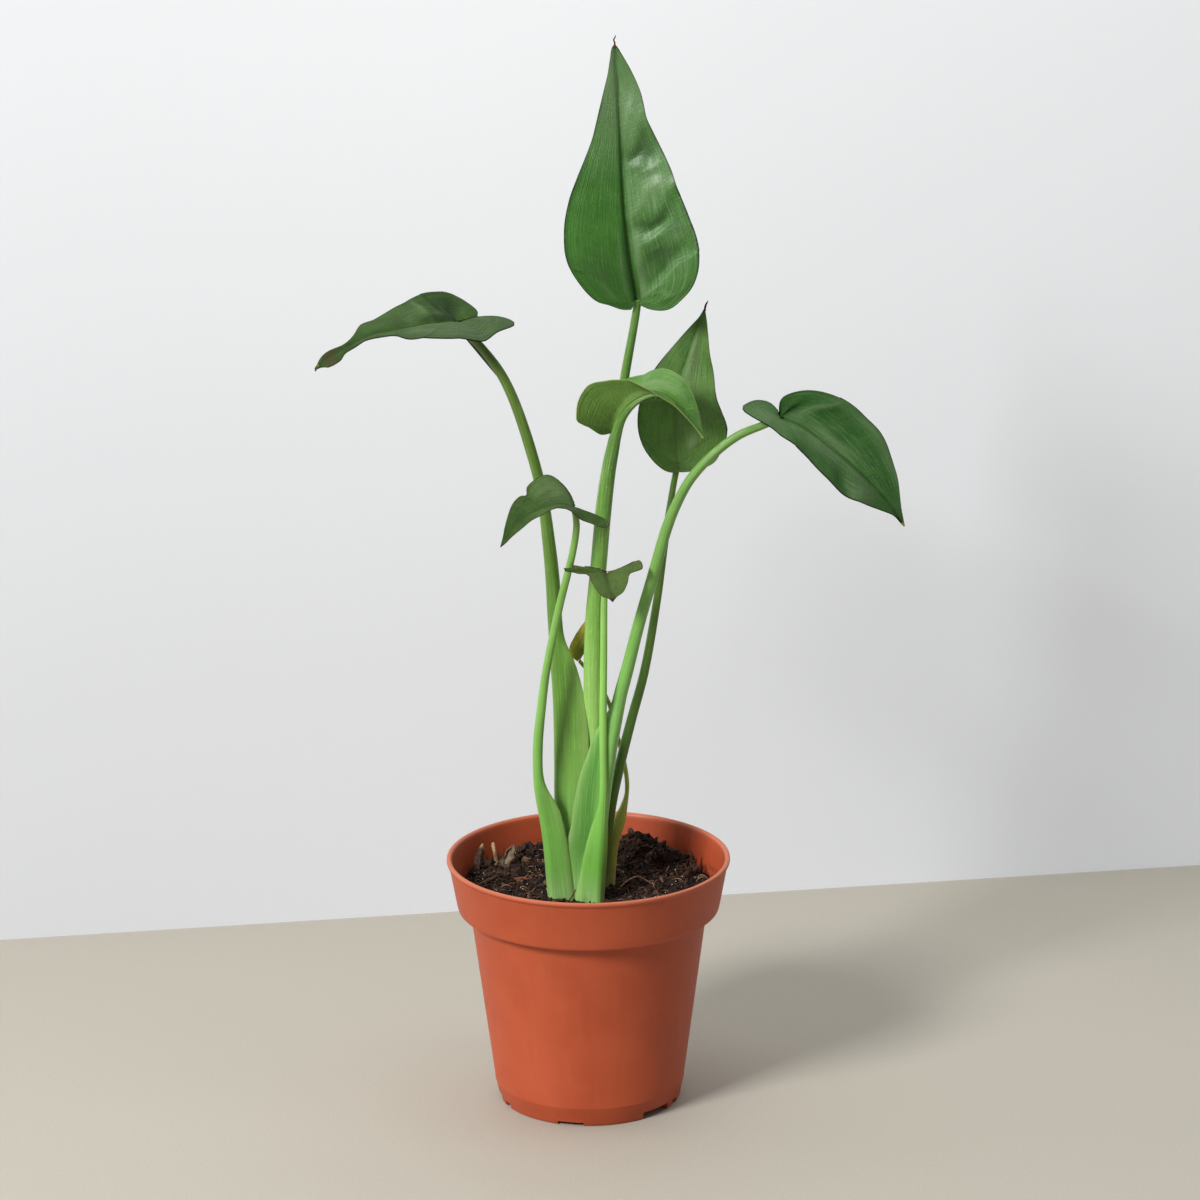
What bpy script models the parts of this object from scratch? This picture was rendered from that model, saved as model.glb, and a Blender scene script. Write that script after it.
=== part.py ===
"""A young alocasia in a plastic nursery pot, built as separate solids.

Run with: blender --background --python part.py
Everything is written in millimetres in the pot's own frame, with the pot's axis at x = y = 0 and
its foot at z = 0. -Y is the front. add_piece() turns that into metres and moves the whole object
sideways, so that the scene's origin is the middle of the footprint of pot and plant together.
"""
import math

import bmesh
import bpy
from mathutils import Matrix, Quaternion, Vector

MM = 0.001
GAP = 0.3                       # air left between two pieces that touch
POT_AXIS_X = -9.7               # where the pot stands, seen from the middle of the whole object

# --- pot -----------------------------------------------------------------------------------
POT_H = 107.1
RIM_R = 60.0
WALL = 1.3
LEDGE_Z = 84.6                  # lower edge of the wide band under the rim
LEDGE_R = 55.2
BODY_TOP_R = 50.3
BODY_LOW_R = 39.6
BODY_LOW_Z = 2.6
FOOT_R = 38.0
FOOT_RING = 1.6                 # radial thickness of the foot ring
PLATE_Z = 2.8                   # underside of the raised bottom plate
FLOOR_T = 1.4
LEDGE_T = 1.4                   # from the band's lower edge up to the step inside
POT_SIDES = 48
NOTCH_Z = 2.4
NOTCHES = [(167, 36), (102, 18), (37, 36), (-18, 18), (-78, 36), (-138, 18)]   # centre, width in degrees
DRAIN_R = 3.0
DRAIN_RING_R = 26.0

# --- soil and corm -----------------------------------------------------------------------
SOIL_Z = 91.5
MOUNDS = [                      # x, y, height, spread of the heaps that break up the surface
    (22, 37, 9.5, 7.5), (34, 28, 6, 7.5), (11, 42, 3.5, 7), (-24, 37, 6, 9),
    (-44, 18, 4.0, 10), (40, 8, 1.5, 9), (-34, -8, 1.0, 9), (24, -22, 0.8, 8),
]
SOIL_RINGS = [54.2, 47, 40, 32, 24]     # radii at which the surface follows the heaps
CORM_C = (-2.0, -0.5)
CORM_LOW = 70.0
CORM_TOP = 90.9
CORM_R = (17.5, 16.5)
BASE_Z = CORM_TOP + GAP         # every petiole stands on the corm
FLAKE_FOOT = (-37, 23)
FLAKE_REACH = (4.2, 4, 7.5)     # from its foot to its tip
FLAKE_HALF = 2.6
FLAKE_T = 0.5

# --- blades ------------------------------------------------------------------------------
# spine: points along the midrib, from behind the basal lobes to the tip; join: the one the petiole
# carries. up: where the upper face looks at each point (one entry serves all). left, right: the
# margin as (distance along the midrib, half width), from the notch between the lobes to the tip,
# seen from above. rise: how far each half is folded up, in degrees, by distance along the midrib;
# curl: how much more it turns per millimetre towards the margin.
BLADE_T = 0.8
VEIN_LEAN = 0.45                # how far the side veins run forward for each millimetre outwards
FAN_REACH = 0.06                # share of the midrib whose margin is served by the fan at the joint
LEAVES = {
    "top": dict(
        spine=[(21.3, 8.2, 339.5), (21.5, 7.2, 345), (19.3, 6, 360.5), (17.3, 6.2, 377), (16, 7.5, 394),
               (15, 9.5, 414.5), (14, 11, 431), (12.4, 12.5, 448), (13.1, 12.5, 452.8)],
        join=1, up=[(0, -1, 0.1)],
        left=[(-4.2, 2), (-2, 11.5), (8, 19.5), (20, 25), (29, 26), (43, 22.5), (59, 15.5),
              (76, 8.5), (92, 4.5), (101.5, 1.5), (105, 0.5)],
        right=[(-1.6, 1), (-2.4, 7.5), (0.5, 16.5), (7, 25.5), (17, 29), (34, 26.5), (50, 22),
               (64, 16.5), (76, 11.5), (92, 5.5), (101.5, 1.5), (105, 0.5)],
        rise_left=[(-6, 14), (0, 18), (40, 18), (106, 10)], curl_left=-0.3,
        rise_right=[(-6, 14), (0, 16), (40, 14), (106, 8)], curl_right=-0.35),
    "back": dict(
        spine=[(38.7, 16.2, 269), (38.2, 15, 274.5), (37.4, 14.3, 284), (37.2, 14.8, 297),
               (38.6, 16, 307), (42, 17.5, 318), (46, 19, 329.5), (49.4, 20, 339)],
        join=1, up=[(0, -1, 0.1)],
        left=[(-3.3, 3), (2.5, 10.5), (10, 14.5), (18, 15.8), (28, 14), (37, 10), (49, 5), (62, 1)],
        right=[(-4.4, 0.6), (-3.5, 9), (0, 16), (12.5, 21.5), (30, 17.5), (45, 10.7), (60, 3.5)],
        rise_left=[(-6, 20), (0, 28), (66, 15)], curl_left=-0.3,
        rise_right=[(-6, 14), (0, 14), (66, 8)], curl_right=-0.3),
    "left": dict(
        spine=[(-29, 7, 336), (-41.4, 6.2, 337.4), (-52.4, 5, 337), (-63.4, 4, 336.3), (-75.7, 3, 334.5),
               (-83.8, 2, 333.3), (-91, 1, 331.2), (-97.7, 0, 327.7), (-104.3, -1, 323.8),
               (-108.3, -2, 321.5), (-110.6, -3, 318)],
        join=2, up=[(0, -0.14, 1)] * 7 + [(0, -0.27, 1)] * 4,
        left=[(-4, -0.3), (-14, 0), (-22, 1), (-23.4, 4), (-17, 14.5), (-9.5, 25.5), (4.5, 24.5),
              (20.5, 18), (31, 6.5), (41.5, 5), (48, 3.5), (52, 6), (58.5, 5.5), (62, 1)],
        right=[(-3, 0.7), (-8, 2.4), (-9, 6), (-5.5, 12.5), (1, 19), (9.5, 20), (18, 18), (26, 14.5),
               (33.5, 12.5), (38, 11), (42, 5.5), (48, 2.5), (56, 3.5), (61, 1)],
        rise_left=[(-24, 0), (0, 3), (25, 5), (60, -10)], curl_left=-0.1,
        rise_right=[(-24, 12), (0, 4), (25, 4), (60, 0)], curl_right=0.7),
    "right": dict(
        spine=[(64, -13.5, 303), (72, -12.8, 301.7), (79.6, -12, 299.8), (87.4, -13, 297), (95.5, -14.5, 291.5),
               (101.5, -16, 286.8), (107.6, -17.5, 282), (115.7, -19.5, 274.5), (124, -21.5, 265.3),
               (130, -23, 256.5)],
        join=2, up=[(0.1, -0.55, 0.8)] * 2 + [(0.25, -0.6, 0.75)] * 8,
        left=[(-3, 3.5), (-4, 6), (0, 11), (6.3, 17.8), (13.6, 22.4), (24, 24.8), (38, 21.6), (51, 12.3),
              (62.6, 3)],
        right=[(-3, -2), (-8, -4.5), (-14, -3), (-16, -0.5), (-13.3, 3.7), (-7.5, 8.3), (5, 14.8),
               (19, 16.3), (31, 19), (44.5, 17), (57, 6.4), (64, 1)],
        rise_left=[(-16, 8), (0, 8), (80, 4)], curl_left=-0.5,
        rise_right=[(-16, 14), (0, 18), (80, 8)], curl_right=0.0),
    "young": dict(
        spine=[(11, -6.4, 290.4), (11.6, -6.9, 293.9), (13.4, -8.5, 300), (17, -10.3, 305.6), (22.2, -12, 310),
               (28.3, -13.5, 311.7), (35.2, -15, 309.1), (41.6, -16.5, 302.7), (45.7, -17.5, 297),
               (48.1, -18, 292.6)],
        join=1, up=[(-0.75, 0.62, 0.2), (-0.75, 0.62, 0.2), (-0.7, 0.62, 0.3), (-0.5, 0.5, 0.7), (-0.2, 0.2, 1),
                    (0.1, -0.2, 1), (0.3, -0.5, 0.75), (0.5, -0.6, 0.5), (0.6, -0.6, 0.4), (0.6, -0.6, 0.4)],
        left=[(-1.5, 1), (-3, 7), (0, 12), (5, 16), (12, 17), (20, 15), (28, 13), (34, 11), (45, 5)],
        right=[(-1.5, 1.5), (-1.5, 7), (2.5, 14), (5, 20.5), (7.5, 21), (12, 19), (16, 14), (21, 9),
               (27, 5.5), (34, 4), (45, 2)],
        rise_left=[(-6, 70), (6, 65), (14, 40), (20, 20), (30, 12), (60, 8)], curl_left=0.0,
        rise_right=[(-6, 10), (0, 10), (6, 16), (12, 36), (17, 46), (21, 46), (25, 24), (30, 8), (60, 0)],
        curl_right=0.0),
    "low_left": dict(
        spine=[(10.6, -20, 258), (2.4, -18.5, 261), (-5.3, -17.5, 264.2), (-10.6, -18, 265.5), (-16.7, -19, 264.3),
               (-22.9, -20.5, 261.7), (-28.6, -22.5, 257.7), (-32.3, -24.5, 253), (-35.1, -26, 249.3)],
        join=2, up=[(0.2, -0.35, 0.9)] * 3 + [(-0.1, -0.55, 0.83)] * 6,
        left=[(-3, -0.3), (-15, 0.2), (-17, 3), (-15, 5), (-9, 6), (-3, 8), (6, 10), (14, 9.5), (24, 5.5), (32, 2)],
        right=[(0.1, 1.6), (2.2, 5.2), (4.8, 9.2), (7.8, 13.3), (11.3, 13.1), (14.8, 11.2), (16.4, 8), (18, 8.8),
               (21.6, 8), (27.5, 4), (32, 2)],
        rise_left=[(-18, -10), (-6, 5), (0, 22), (5, 36), (12, 38), (20, 30), (40, 10)], curl_left=0.0,
        rise_right=[(-18, 25), (0, 25), (40, 15)], curl_right=-0.3),
    "low_front": dict(
        spine=[(8, -13.5, 235.6), (8.4, -15, 235.3), (8.6, -18, 234.2), (9.2, -21.5, 232.2), (10, -24.5, 229.2),
               (10.8, -26, 225.8)],
        join=1, up=[(0, -0.3, 0.95)] * 2 + [(0, -0.6, 0.8)] * 4,
        left=[(-0.6, 2), (-1, 9), (-1, 14), (2, 14), (5, 9.5), (8.5, 7.5), (12.5, 3.5)],
        right=[(-1, 2.5), (-2, 8), (-2.5, 17), (-0.5, 18), (1, 13), (1.6, 8), (4, 6.5), (9, 4.5), (13, 1.5)],
        rise_left=[(-6, -2), (4, 0), (25, -4)], curl_left=0.4,
        rise_right=[(-6, 14), (0, 14), (4, 12), (25, 6)], curl_right=0.3),
    "yellow": dict(
        spine=[(-2, 13, 186.6), (-3.6, 12.2, 189.6), (-4.6, 11.5, 193.4), (-2.4, 11, 198.6), (0.4, 11.3, 203.8),
               (4.2, 12, 210.5), (6.4, 13, 216)],
        join=1, up=[(-0.5, -0.85, 0.1)],
        left=[(0, 0.8), (4, 3), (9, 3.4), (15, 3), (22, 2), (25, 1)],
        right=[(0, 0.8), (3, 3.4), (8, 4.3), (15, 3.8), (22, 2.2), (25, 1)],
        rise_left=[(0, 25)], curl_left=0.0, rise_right=[(0, -25)], curl_right=0.0),
}

# --- petioles ------------------------------------------------------------------------------
# route: x, y, z of the rib, then how far the stalk reaches to its left and to its right of the rib,
# half its depth, and how far it has opened into a sheath (0 = round stalk, 1 = thin curved sheath).
# out: the way its back looks, away from the middle of the plant.
SHEATH_T = 1.3
PETIOLES = {
    "top": dict(out=(0.1, 1), route=[
        (2, 7, BASE_Z, 3.2, 3.2, 2.4, 0), (3, 7, 115, 2.6, 2.6, 2.4, 0), (4.2, 7, 174, 2.5, 2.5, 2.4, 0),
        (4.5, 7, 200, 2.3, 2.3, 2.3, 0), (5.2, 7, 235, 2.1, 2.1, 2.1, 0), (8, 7.2, 262, 2.05, 2.05, 2.05, 0),
        (12.2, 7.6, 286, 2.0, 2.0, 2.0, 0), (16.6, 8.3, 315, 1.85, 1.85, 1.85, 0), (19.4, 9.5, 330, 1.7, 1.7, 1.7, 0),
        (21.1, 10.5, 340, 1.6, 1.6, 1.5, 0)]),
    "back": dict(out=(1, 0.3), route=[
        (8.4, 6.6, BASE_Z, 1.9, 1.9, 1.8, 0), (8.9, 6.8, 112, 2.0, 2.0, 2.0, 0), (10.6, 7.2, 130, 2.3, 2.3, 2.0, 0),
        (13.6, 8, 144.5, 2.5, 2.5, 2.0, 0), (18.7, 9, 164.5, 2.2, 2.2, 2.0, 0), (24.1, 10.6, 185, 1.9, 1.9, 1.9, 0),
        (29.4, 13, 215.5, 1.7, 1.7, 1.7, 0), (32.8, 15.2, 241, 1.65, 1.65, 1.6, 0),
        (36.6, 18.4, 265, 1.4, 1.4, 1.3, 0)]),
    "left": dict(out=(-0.15, -0.99), route=[
        (-9.2, 3, BASE_Z, 3.5, 7, 2.2, 1), (-10, 2.8, 113, 3.2, 8.5, 2.2, 1), (-11, 2.8, 132, 3.0, 10.5, 2.3, 1),
        (-11.3, 2.8, 150, 2.8, 12, 2.4, 1), (-11.5, 2.8, 171, 2.8, 11.5, 2.5, 0.9), (-12, 2.8, 184, 2.9, 9.6, 2.6, 0.8),
        (-12.6, 2.9, 193, 2.9, 7.6, 2.6, 0.7), (-13, 3, 202, 3.0, 4.2, 2.7, 0.4), (-13.5, 3, 213, 3.1, 3.1, 2.8, 0),
        (-14.2, 3, 228, 3.0, 3.0, 2.8, 0), (-15.7, 3, 244.5, 2.7, 2.7, 2.6, 0), (-18.2, 3.3, 264, 2.3, 2.3, 2.3, 0),
        (-23.4, 4, 285, 2.3, 2.3, 2.2, 0), (-30.2, 4.8, 305.3, 2.1, 2.1, 2.1, 0), (-35.5, 5, 316, 2.0, 2.0, 2.0, 0),
        (-42.9, 5, 326, 1.8, 1.8, 1.8, 0), (-47.8, 5, 331.2, 1.7, 1.7, 1.7, 0)]),
    "right": dict(out=(0.05, -1), route=[
        (9, -3, BASE_Z, 13.5, 2.2, 5.6, 1), (9.2, -3, 113, 15.5, 2.4, 5.8, 1), (9.5, -3.2, 128, 16.6, 2.6, 5.8, 1),
        (9.8, -4.8, 137, 16, 2.6, 4.4, 1), (10, -6, 146, 14.2, 2.7, 3.2, 1), (10.3, -6.4, 153, 12, 2.8, 2.8, 0.95),
        (10.8, -6.5, 162, 9.6, 2.8, 2.8, 0.9), (11.5, -6.2, 168, 6.4, 2.8, 2.8, 0.6), (12.6, -5.3, 174, 3.2, 2.8, 2.6, 0.2),
        (13.9, -4.8, 180, 2.8, 2.8, 2.5, 0), (16.4, -5, 189.5, 2.7, 2.7, 2.5, 0), (21.6, -7, 211, 2.5, 2.5, 2.4, 0),
        (27.4, -8.5, 232, 2.4, 2.4, 2.3, 0),
        (33.2, -9.5, 252.9, 2.3, 2.3, 2.3, 0), (37.3, -10, 263.3, 2.1, 2.1, 2.1, 0), (42.8, -10.5, 273.5, 2.0, 2.0, 2.0, 0),
        (52.4, -11, 284.3, 1.9, 1.9, 1.9, 0), (62.4, -11.3, 292, 1.8, 1.8, 1.8, 0),
        (72.5, -11, 296.2, 1.6, 1.6, 1.5, 0)]),
    "young": dict(out=(0, -1), route=[
        (3.2, -2.8, BASE_Z, 3.3, 3.3, 2.6, 0), (3.2, -2.8, 113, 3.7, 3.7, 3.0, 0), (3, -3, 130, 3.9, 3.9, 3.1, 0),
        (2.8, -3, 148, 4.2, 3.9, 3.1, 0), (2.8, -3, 165, 4.5, 3.9, 3.1, 0), (2.9, -3.6, 180, 4.5, 4.0, 3.3, 0),
        (3, -4.4, 195, 4.4, 4.0, 3.5, 0), (3.2, -5.4, 216, 3.6, 3.6, 3.3, 0), (4.6, -6, 231.5, 3.4, 3.4, 3.2, 0),
        (7.4, -6, 262, 3.3, 3.3, 3.0, 0), (9.3, -6, 277, 3.0, 3.0, 2.8, 0), (10.9, -6.9, 284.5, 2.6, 2.6, 2.2, 0),
        (12.9, -8.7, 290.6, 2.0, 2.0, 1.6, 0)]),
    "low_left": dict(out=(-0.5, -0.86), route=[
        (-13.5, -7.5, BASE_Z, 4.2, 6.5, 2.6, 0.9), (-14.6, -8, 103, 3.6, 6.8, 2.5, 0.9), (-16, -8.5, 116.5, 3.2, 7.2, 2.4, 0.9),
        (-17.8, -9, 127.5, 2.9, 7.6, 2.3, 0.9), (-19.4, -9.6, 135, 2.5, 6.4, 2.2, 0.8), (-20.3, -10, 140.6, 2.3, 4.4, 2.1, 0.5),
        (-20.7, -10.2, 146, 2.2, 2.2, 2.0, 0), (-20.7, -11, 160, 2.1, 2.1, 2.0, 0), (-19.1, -12, 176.3, 1.9, 1.9, 1.8, 0),
        (-17, -13, 192.2, 1.7, 1.7, 1.7, 0), (-14, -13.5, 207.8, 1.65, 1.65, 1.6, 0), (-10.6, -14, 223.4, 1.6, 1.6, 1.6, 0),
        (-8, -14.5, 233.8, 1.55, 1.55, 1.5, 0), (-5.5, -15, 244.5, 1.45, 1.45, 1.4, 0), (-4, -15.6, 254.4, 1.4, 1.4, 1.4, 0),
        (-4.2, -16.3, 259, 1.3, 1.3, 1.3, 0)]),
    "low_front": dict(out=(0.1, -1), route=[
        (4.4, -12.6, BASE_Z, 8.4, 2.4, 1.9, 0.8), (4.6, -12.6, 100, 8.2, 2.4, 1.9, 0.8), (5, -12.7, 111, 7, 2.2, 1.8, 0.8),
        (5.6, -12.8, 121, 4.8, 1.9, 1.7, 0.7), (6.1, -12.8, 129, 2.6, 1.6, 1.5, 0.3), (6.3, -12.8, 135, 1.5, 1.5, 1.4, 0),
        (6.5, -12.6, 170, 1.5, 1.5, 1.4, 0), (6.9, -12.4, 198, 1.35, 1.35, 1.3, 0), (7.4, -12.8, 224, 1.1, 1.1, 1.1, 0),
        (8, -14, 232, 1.0, 1.0, 1.0, 0)]),
    "yellow": dict(out=(0.9, 0.4), route=[
        (8.2, 10.6, BASE_Z, 1.2, 1.4, 1.0, 0.4), (10.4, 11.4, 105, 1.7, 2.2, 1.2, 0.4), (13, 12, 115, 1.9, 1.7, 1.2, 0.4),
        (15.6, 12.6, 124.5, 1.0, 1.0, 0.9, 0), (16.4, 12.8, 132.9, 1.0, 1.0, 0.9, 0), (15.3, 13, 143, 0.9, 0.9, 0.9, 0),
        (12.6, 13.2, 156, 0.9, 0.9, 0.9, 0), (8.8, 13.5, 171, 0.9, 0.9, 0.9, 0), (4.2, 13.8, 179.6, 0.85, 0.85, 0.85, 0),
        (-0.4, 14, 185.4, 0.85, 0.85, 0.85, 0)]),
}

# --- colours (colour, roughness) -----------------------------------------------------------
TERRACOTTA = ((0.47, 0.12, 0.055), 0.45)
PEAT = ((0.028, 0.018, 0.012), 0.95)
CORM_BROWN = ((0.16, 0.09, 0.05), 0.85)
GREEN_STALK = ((0.17, 0.36, 0.07), 0.45)
GREEN_LEAF = ((0.045, 0.16, 0.03), 0.3)
YELLOW_LEAF = ((0.32, 0.26, 0.03), 0.5)
PALE_WOOD = ((0.45, 0.33, 0.2), 0.8)
DARK_WOOD = ((0.05, 0.03, 0.02), 0.9)
DRY_LEAF = ((0.16, 0.12, 0.08), 0.85)


def clear_scene():
    for old in list(bpy.data.objects):
        bpy.data.objects.remove(old, do_unlink=True)


def material(name, look):
    colour, roughness = look
    made = bpy.data.materials.new(name)
    made.use_nodes = True
    shader = made.node_tree.nodes["Principled BSDF"]
    shader.inputs["Base Color"].default_value = (*colour, 1.0)
    shader.inputs["Roughness"].default_value = roughness
    shader.inputs["Metallic"].default_value = 0.0
    return made


def add_piece(name, bm, look, smooth=True):
    """Turn a bmesh in millimetres and the pot's frame into a named object in metres."""
    bmesh.ops.transform(bm, matrix=Matrix.Translation((POT_AXIS_X, 0, 0)), verts=bm.verts)
    bmesh.ops.scale(bm, vec=(MM, MM, MM), verts=bm.verts)
    mesh = bpy.data.meshes.new(name)
    bm.to_mesh(mesh)
    bm.free()
    mesh.materials.append(material(name + "_material", look))
    if smooth:
        mesh.shade_smooth()
        mesh.set_sharp_from_angle(angle=math.radians(40))
    made = bpy.data.objects.new(name, mesh)
    bpy.context.scene.collection.objects.link(made)
    return made


def cut(target, name, bm):
    """Subtract a bmesh from a finished object; the cutter stays as a hidden guide."""
    cutter = add_piece(name, bm, PEAT, smooth=False)
    cutter.hide_render = True
    cutter.display_type = "WIRE"
    boolean = target.modifiers.new(name, "BOOLEAN")
    boolean.operation = "DIFFERENCE"
    boolean.solver = "EXACT"
    boolean.object = cutter


# --- curves ----------------------------------------------------------------------------------
def smooth_curve(points, steps=12):
    """Dense points on a Catmull-Rom curve through rows of numbers of any length."""
    rows = [tuple(2 * a - b for a, b in zip(points[0], points[1]))] + list(points)
    rows.append(tuple(2 * a - b for a, b in zip(points[-1], points[-2])))
    knots = [0.0]
    for a, b in zip(rows, rows[1:]):
        knots.append(knots[-1] + max(math.dist(a[:3], b[:3]), 1e-6) ** 0.5)

    def mix(a, b, ta, tb, t):
        return tuple(((tb - t) * x + (t - ta) * y) / (tb - ta) for x, y in zip(a, b))

    dense = []
    for i in range(1, len(rows) - 2):
        t0, t1, t2, t3 = knots[i - 1:i + 3]
        for k in range(steps):
            t = t1 + (t2 - t1) * k / steps
            a1 = mix(rows[i - 1], rows[i], t0, t1, t)
            a2 = mix(rows[i], rows[i + 1], t1, t2, t)
            a3 = mix(rows[i + 1], rows[i + 2], t2, t3, t)
            b1 = mix(a1, a2, t0, t2, t)
            b2 = mix(a2, a3, t1, t3, t)
            dense.append(mix(b1, b2, t1, t2, t))
    dense.append(tuple(float(x) for x in points[-1]))
    return dense


def lengths(rows):
    run = [0.0]
    for a, b in zip(rows, rows[1:]):
        run.append(run[-1] + math.dist(a[:3], b[:3]))
    return run


def look_up(places, rows, at):
    """Row at a place along a table, by linear interpolation; the ends hold."""
    if at <= places[0]:
        return rows[0]
    for i in range(1, len(places)):
        if at <= places[i]:
            share = (at - places[i - 1]) / max(places[i] - places[i - 1], 1e-9)
            return tuple(a + (b - a) * share for a, b in zip(rows[i - 1], rows[i]))
    return rows[-1]


# --- blades ----------------------------------------------------------------------------------
class Spine:
    """The midrib as a smooth line, measured from the point where the petiole joins."""

    def __init__(self, leaf):
        steps = 12
        self.line = smooth_curve(leaf["spine"], steps)
        run = lengths(self.line)
        start = run[leaf["join"] * steps]
        self.run = [r - start for r in run]
        self.length = self.run[-1]
        ups = leaf["up"]
        self.ups = ups if len(ups) > 1 else ups * len(leaf["spine"])
        self.up_run = [self.run[i * steps] for i in range(len(leaf["spine"]))]
        self.leaf = leaf

    def frame(self, s):
        centre = Vector(look_up(self.run, self.line, s))
        ahead = Vector(look_up(self.run, self.line, s + 1.0))
        behind = Vector(look_up(self.run, self.line, s - 1.0))
        along = (ahead - behind).normalized()
        side = along.cross(Vector(look_up(self.up_run, self.ups, s))).normalized()
        return centre, along, side, side.cross(along)

    def at(self, s, w, side_sign):
        """Point w out from the midrib; the half is folded up by rise and bends by curl."""
        key = "right" if side_sign > 0 else "left"
        centre, _, side, normal = self.frame(s)
        rises = self.leaf["rise_" + key]
        rise = math.radians(look_up([r[0] for r in rises], rises, s)[1])
        curl = math.radians(self.leaf["curl_" + key]) or 1e-6
        out = (math.sin(rise + curl * w) - math.sin(rise)) / curl
        lift = (math.cos(rise) - math.cos(rise + curl * w)) / curl
        return centre + side * (side_sign * out) + normal * lift


def vein_rays(outline, length, stations, fan):
    """Rays from the midrib to the margin, as (midrib station, margin s, margin w).

    The first ones fan out from the joint over the basal lobe; then one leaves each station.
    """
    edge = smooth_curve(list(outline) + [(length, 0)], 8)
    roots = []
    for s, w in edge:
        reached = max(0.0, s - VEIN_LEAN * w)
        roots.append(max(reached, roots[-1] + 1e-4 if roots else 0.0))
    first = sum(r < FAN_REACH * length for r in roots)
    rays = []
    for i in range(fan):
        s, w = edge[round(first * i / fan)]
        rays.append((0, s, w))
    for k in range(stations):
        s, w = look_up(roots, edge, max(length * k / stations, roots[first]))
        rays.append((k, s, w))
    return rays


def blade(name, leaf, stations=9, fan=4, cells=3):
    spine = Spine(leaf)
    bm = bmesh.new()
    midrib = [bm.verts.new(spine.frame(spine.length * k / stations)[0]) for k in range(stations)]
    tip = bm.verts.new(spine.frame(spine.length)[0])
    for sign, key in ((-1, "left"), (1, "right")):
        rows = []
        for root, s, w in vein_rays(leaf[key], spine.length, stations, fan):
            row = [midrib[root]]
            root_s = spine.length * root / stations
            for j in range(1, cells + 1):
                share = j / cells
                row.append(bm.verts.new(spine.at(root_s + (s - root_s) * share, w * share, sign)))
            rows.append(row)
        rows.append([tip] * (cells + 1))
        for a, b in zip(rows, rows[1:]):
            for j in range(cells):
                corners = list(dict.fromkeys((a[j], a[j + 1], b[j + 1], b[j])))
                if len(corners) > 2:
                    bm.faces.new(corners if sign > 0 else corners[::-1])
    made = add_piece(name, bm, YELLOW_LEAF if "yellow" in name else GREEN_LEAF)
    solid = made.modifiers.new("thickness", "SOLIDIFY")
    solid.thickness = BLADE_T * MM
    solid.offset = 0.0
    return made


# --- petioles --------------------------------------------------------------------------------
def section(centre, side, out, left, right, depth, sheath, sides=12):
    """Ring of points: a round stalk, or a curved sheath with thin wings, or anything between."""
    half = sides // 2
    inner_round = -depth
    inner_sheath = depth - SHEATH_T
    inner = inner_round + (inner_sheath - inner_round) * sheath
    ring = []
    for i in range(sides):
        on_back = i <= half
        turn = math.pi * (i / half - 0.5) if on_back else math.pi * (1.5 - i / half)
        across = (right if turn > 0 else left) * math.sin(turn)
        ring.append(centre + side * across + out * ((depth if on_back else inner) * math.cos(turn)))
    return ring


def petiole(name, stalk, leaf, rings=22):
    route = smooth_curve(stalk["route"], 10)
    run = lengths(route)
    outward = Vector((*stalk["out"], 0)).normalized()
    bm = bmesh.new()
    loops = []
    for i in range(rings):
        at = run[-1] * i / (rings - 1)
        x, y, z, left, right, depth, sheath = look_up(run, route, at)
        ahead = Vector(look_up(run, route, at + 1.5)[:3])
        behind = Vector(look_up(run, route, at - 1.5)[:3])
        along = (ahead - behind).normalized()
        side = along.cross(outward).normalized()
        out = side.cross(along)
        centre = Vector((x, y, z))
        ring = section(centre, side, out, left, right, depth, sheath)
        if i == 0:
            ring = [p - along * ((p.z - BASE_Z) / along.z) for p in ring]
        loops.append(ring)
    # the last bend, which ends flat against the back of the blade
    joint, _, _, normal = Spine(leaf).frame(0)
    end = joint - normal * (BLADE_T / 2 + GAP)
    knee = centre + along * max((end - centre).dot(along), 0.0)
    bend = along.rotation_difference(normal)
    last = loops[-1]
    for share in (0.5, 1.0):
        place = centre.lerp(knee, share).lerp(knee.lerp(end, share), share)
        turn = Quaternion().slerp(bend, share)
        loops.append([place + turn @ (p - centre) for p in last])
    rows = [[bm.verts.new(p) for p in ring] for ring in loops]
    for a, b in zip(rows, rows[1:]):
        join_rings(bm, a, b)
    bm.faces.new(rows[0][::-1])
    bm.faces.new(rows[-1])
    bmesh.ops.recalc_face_normals(bm, faces=bm.faces)
    return add_piece(name, bm, YELLOW_LEAF if "yellow" in name else GREEN_STALK)


# --- pot ---------------------------------------------------------------------------------------
def pot_profile():
    """Half section of the pot, from the middle of the floor's top, down and round to it again."""
    plate_top = PLATE_Z + FLOOR_T
    ledge_top = LEDGE_Z + LEDGE_T
    return [
        (0, plate_top), (BODY_LOW_R - WALL, plate_top), (BODY_TOP_R - WALL, ledge_top - 0.2),
        (LEDGE_R - WALL, ledge_top), (RIM_R - 2.7, POT_H - 3.1), (RIM_R - 2.3, POT_H - 0.7),
        (RIM_R - 1.7, POT_H), (RIM_R - 0.6, POT_H), (RIM_R, POT_H - 0.7), (RIM_R, POT_H - 2.4),
        (RIM_R - 0.8, POT_H - 3.1), (RIM_R - 1.4, POT_H - 3.5),
        (LEDGE_R + 0.5, LEDGE_Z + 1.4), (LEDGE_R, LEDGE_Z + 0.3), (LEDGE_R - 0.5, LEDGE_Z),
        (BODY_TOP_R, LEDGE_Z), (BODY_LOW_R, BODY_LOW_Z), (FOOT_R + 0.3, BODY_LOW_Z - 1), (FOOT_R, 0),
        (FOOT_R - FOOT_RING, 0), (FOOT_R - FOOT_RING, PLATE_Z), (0, PLATE_Z),
    ]


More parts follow.
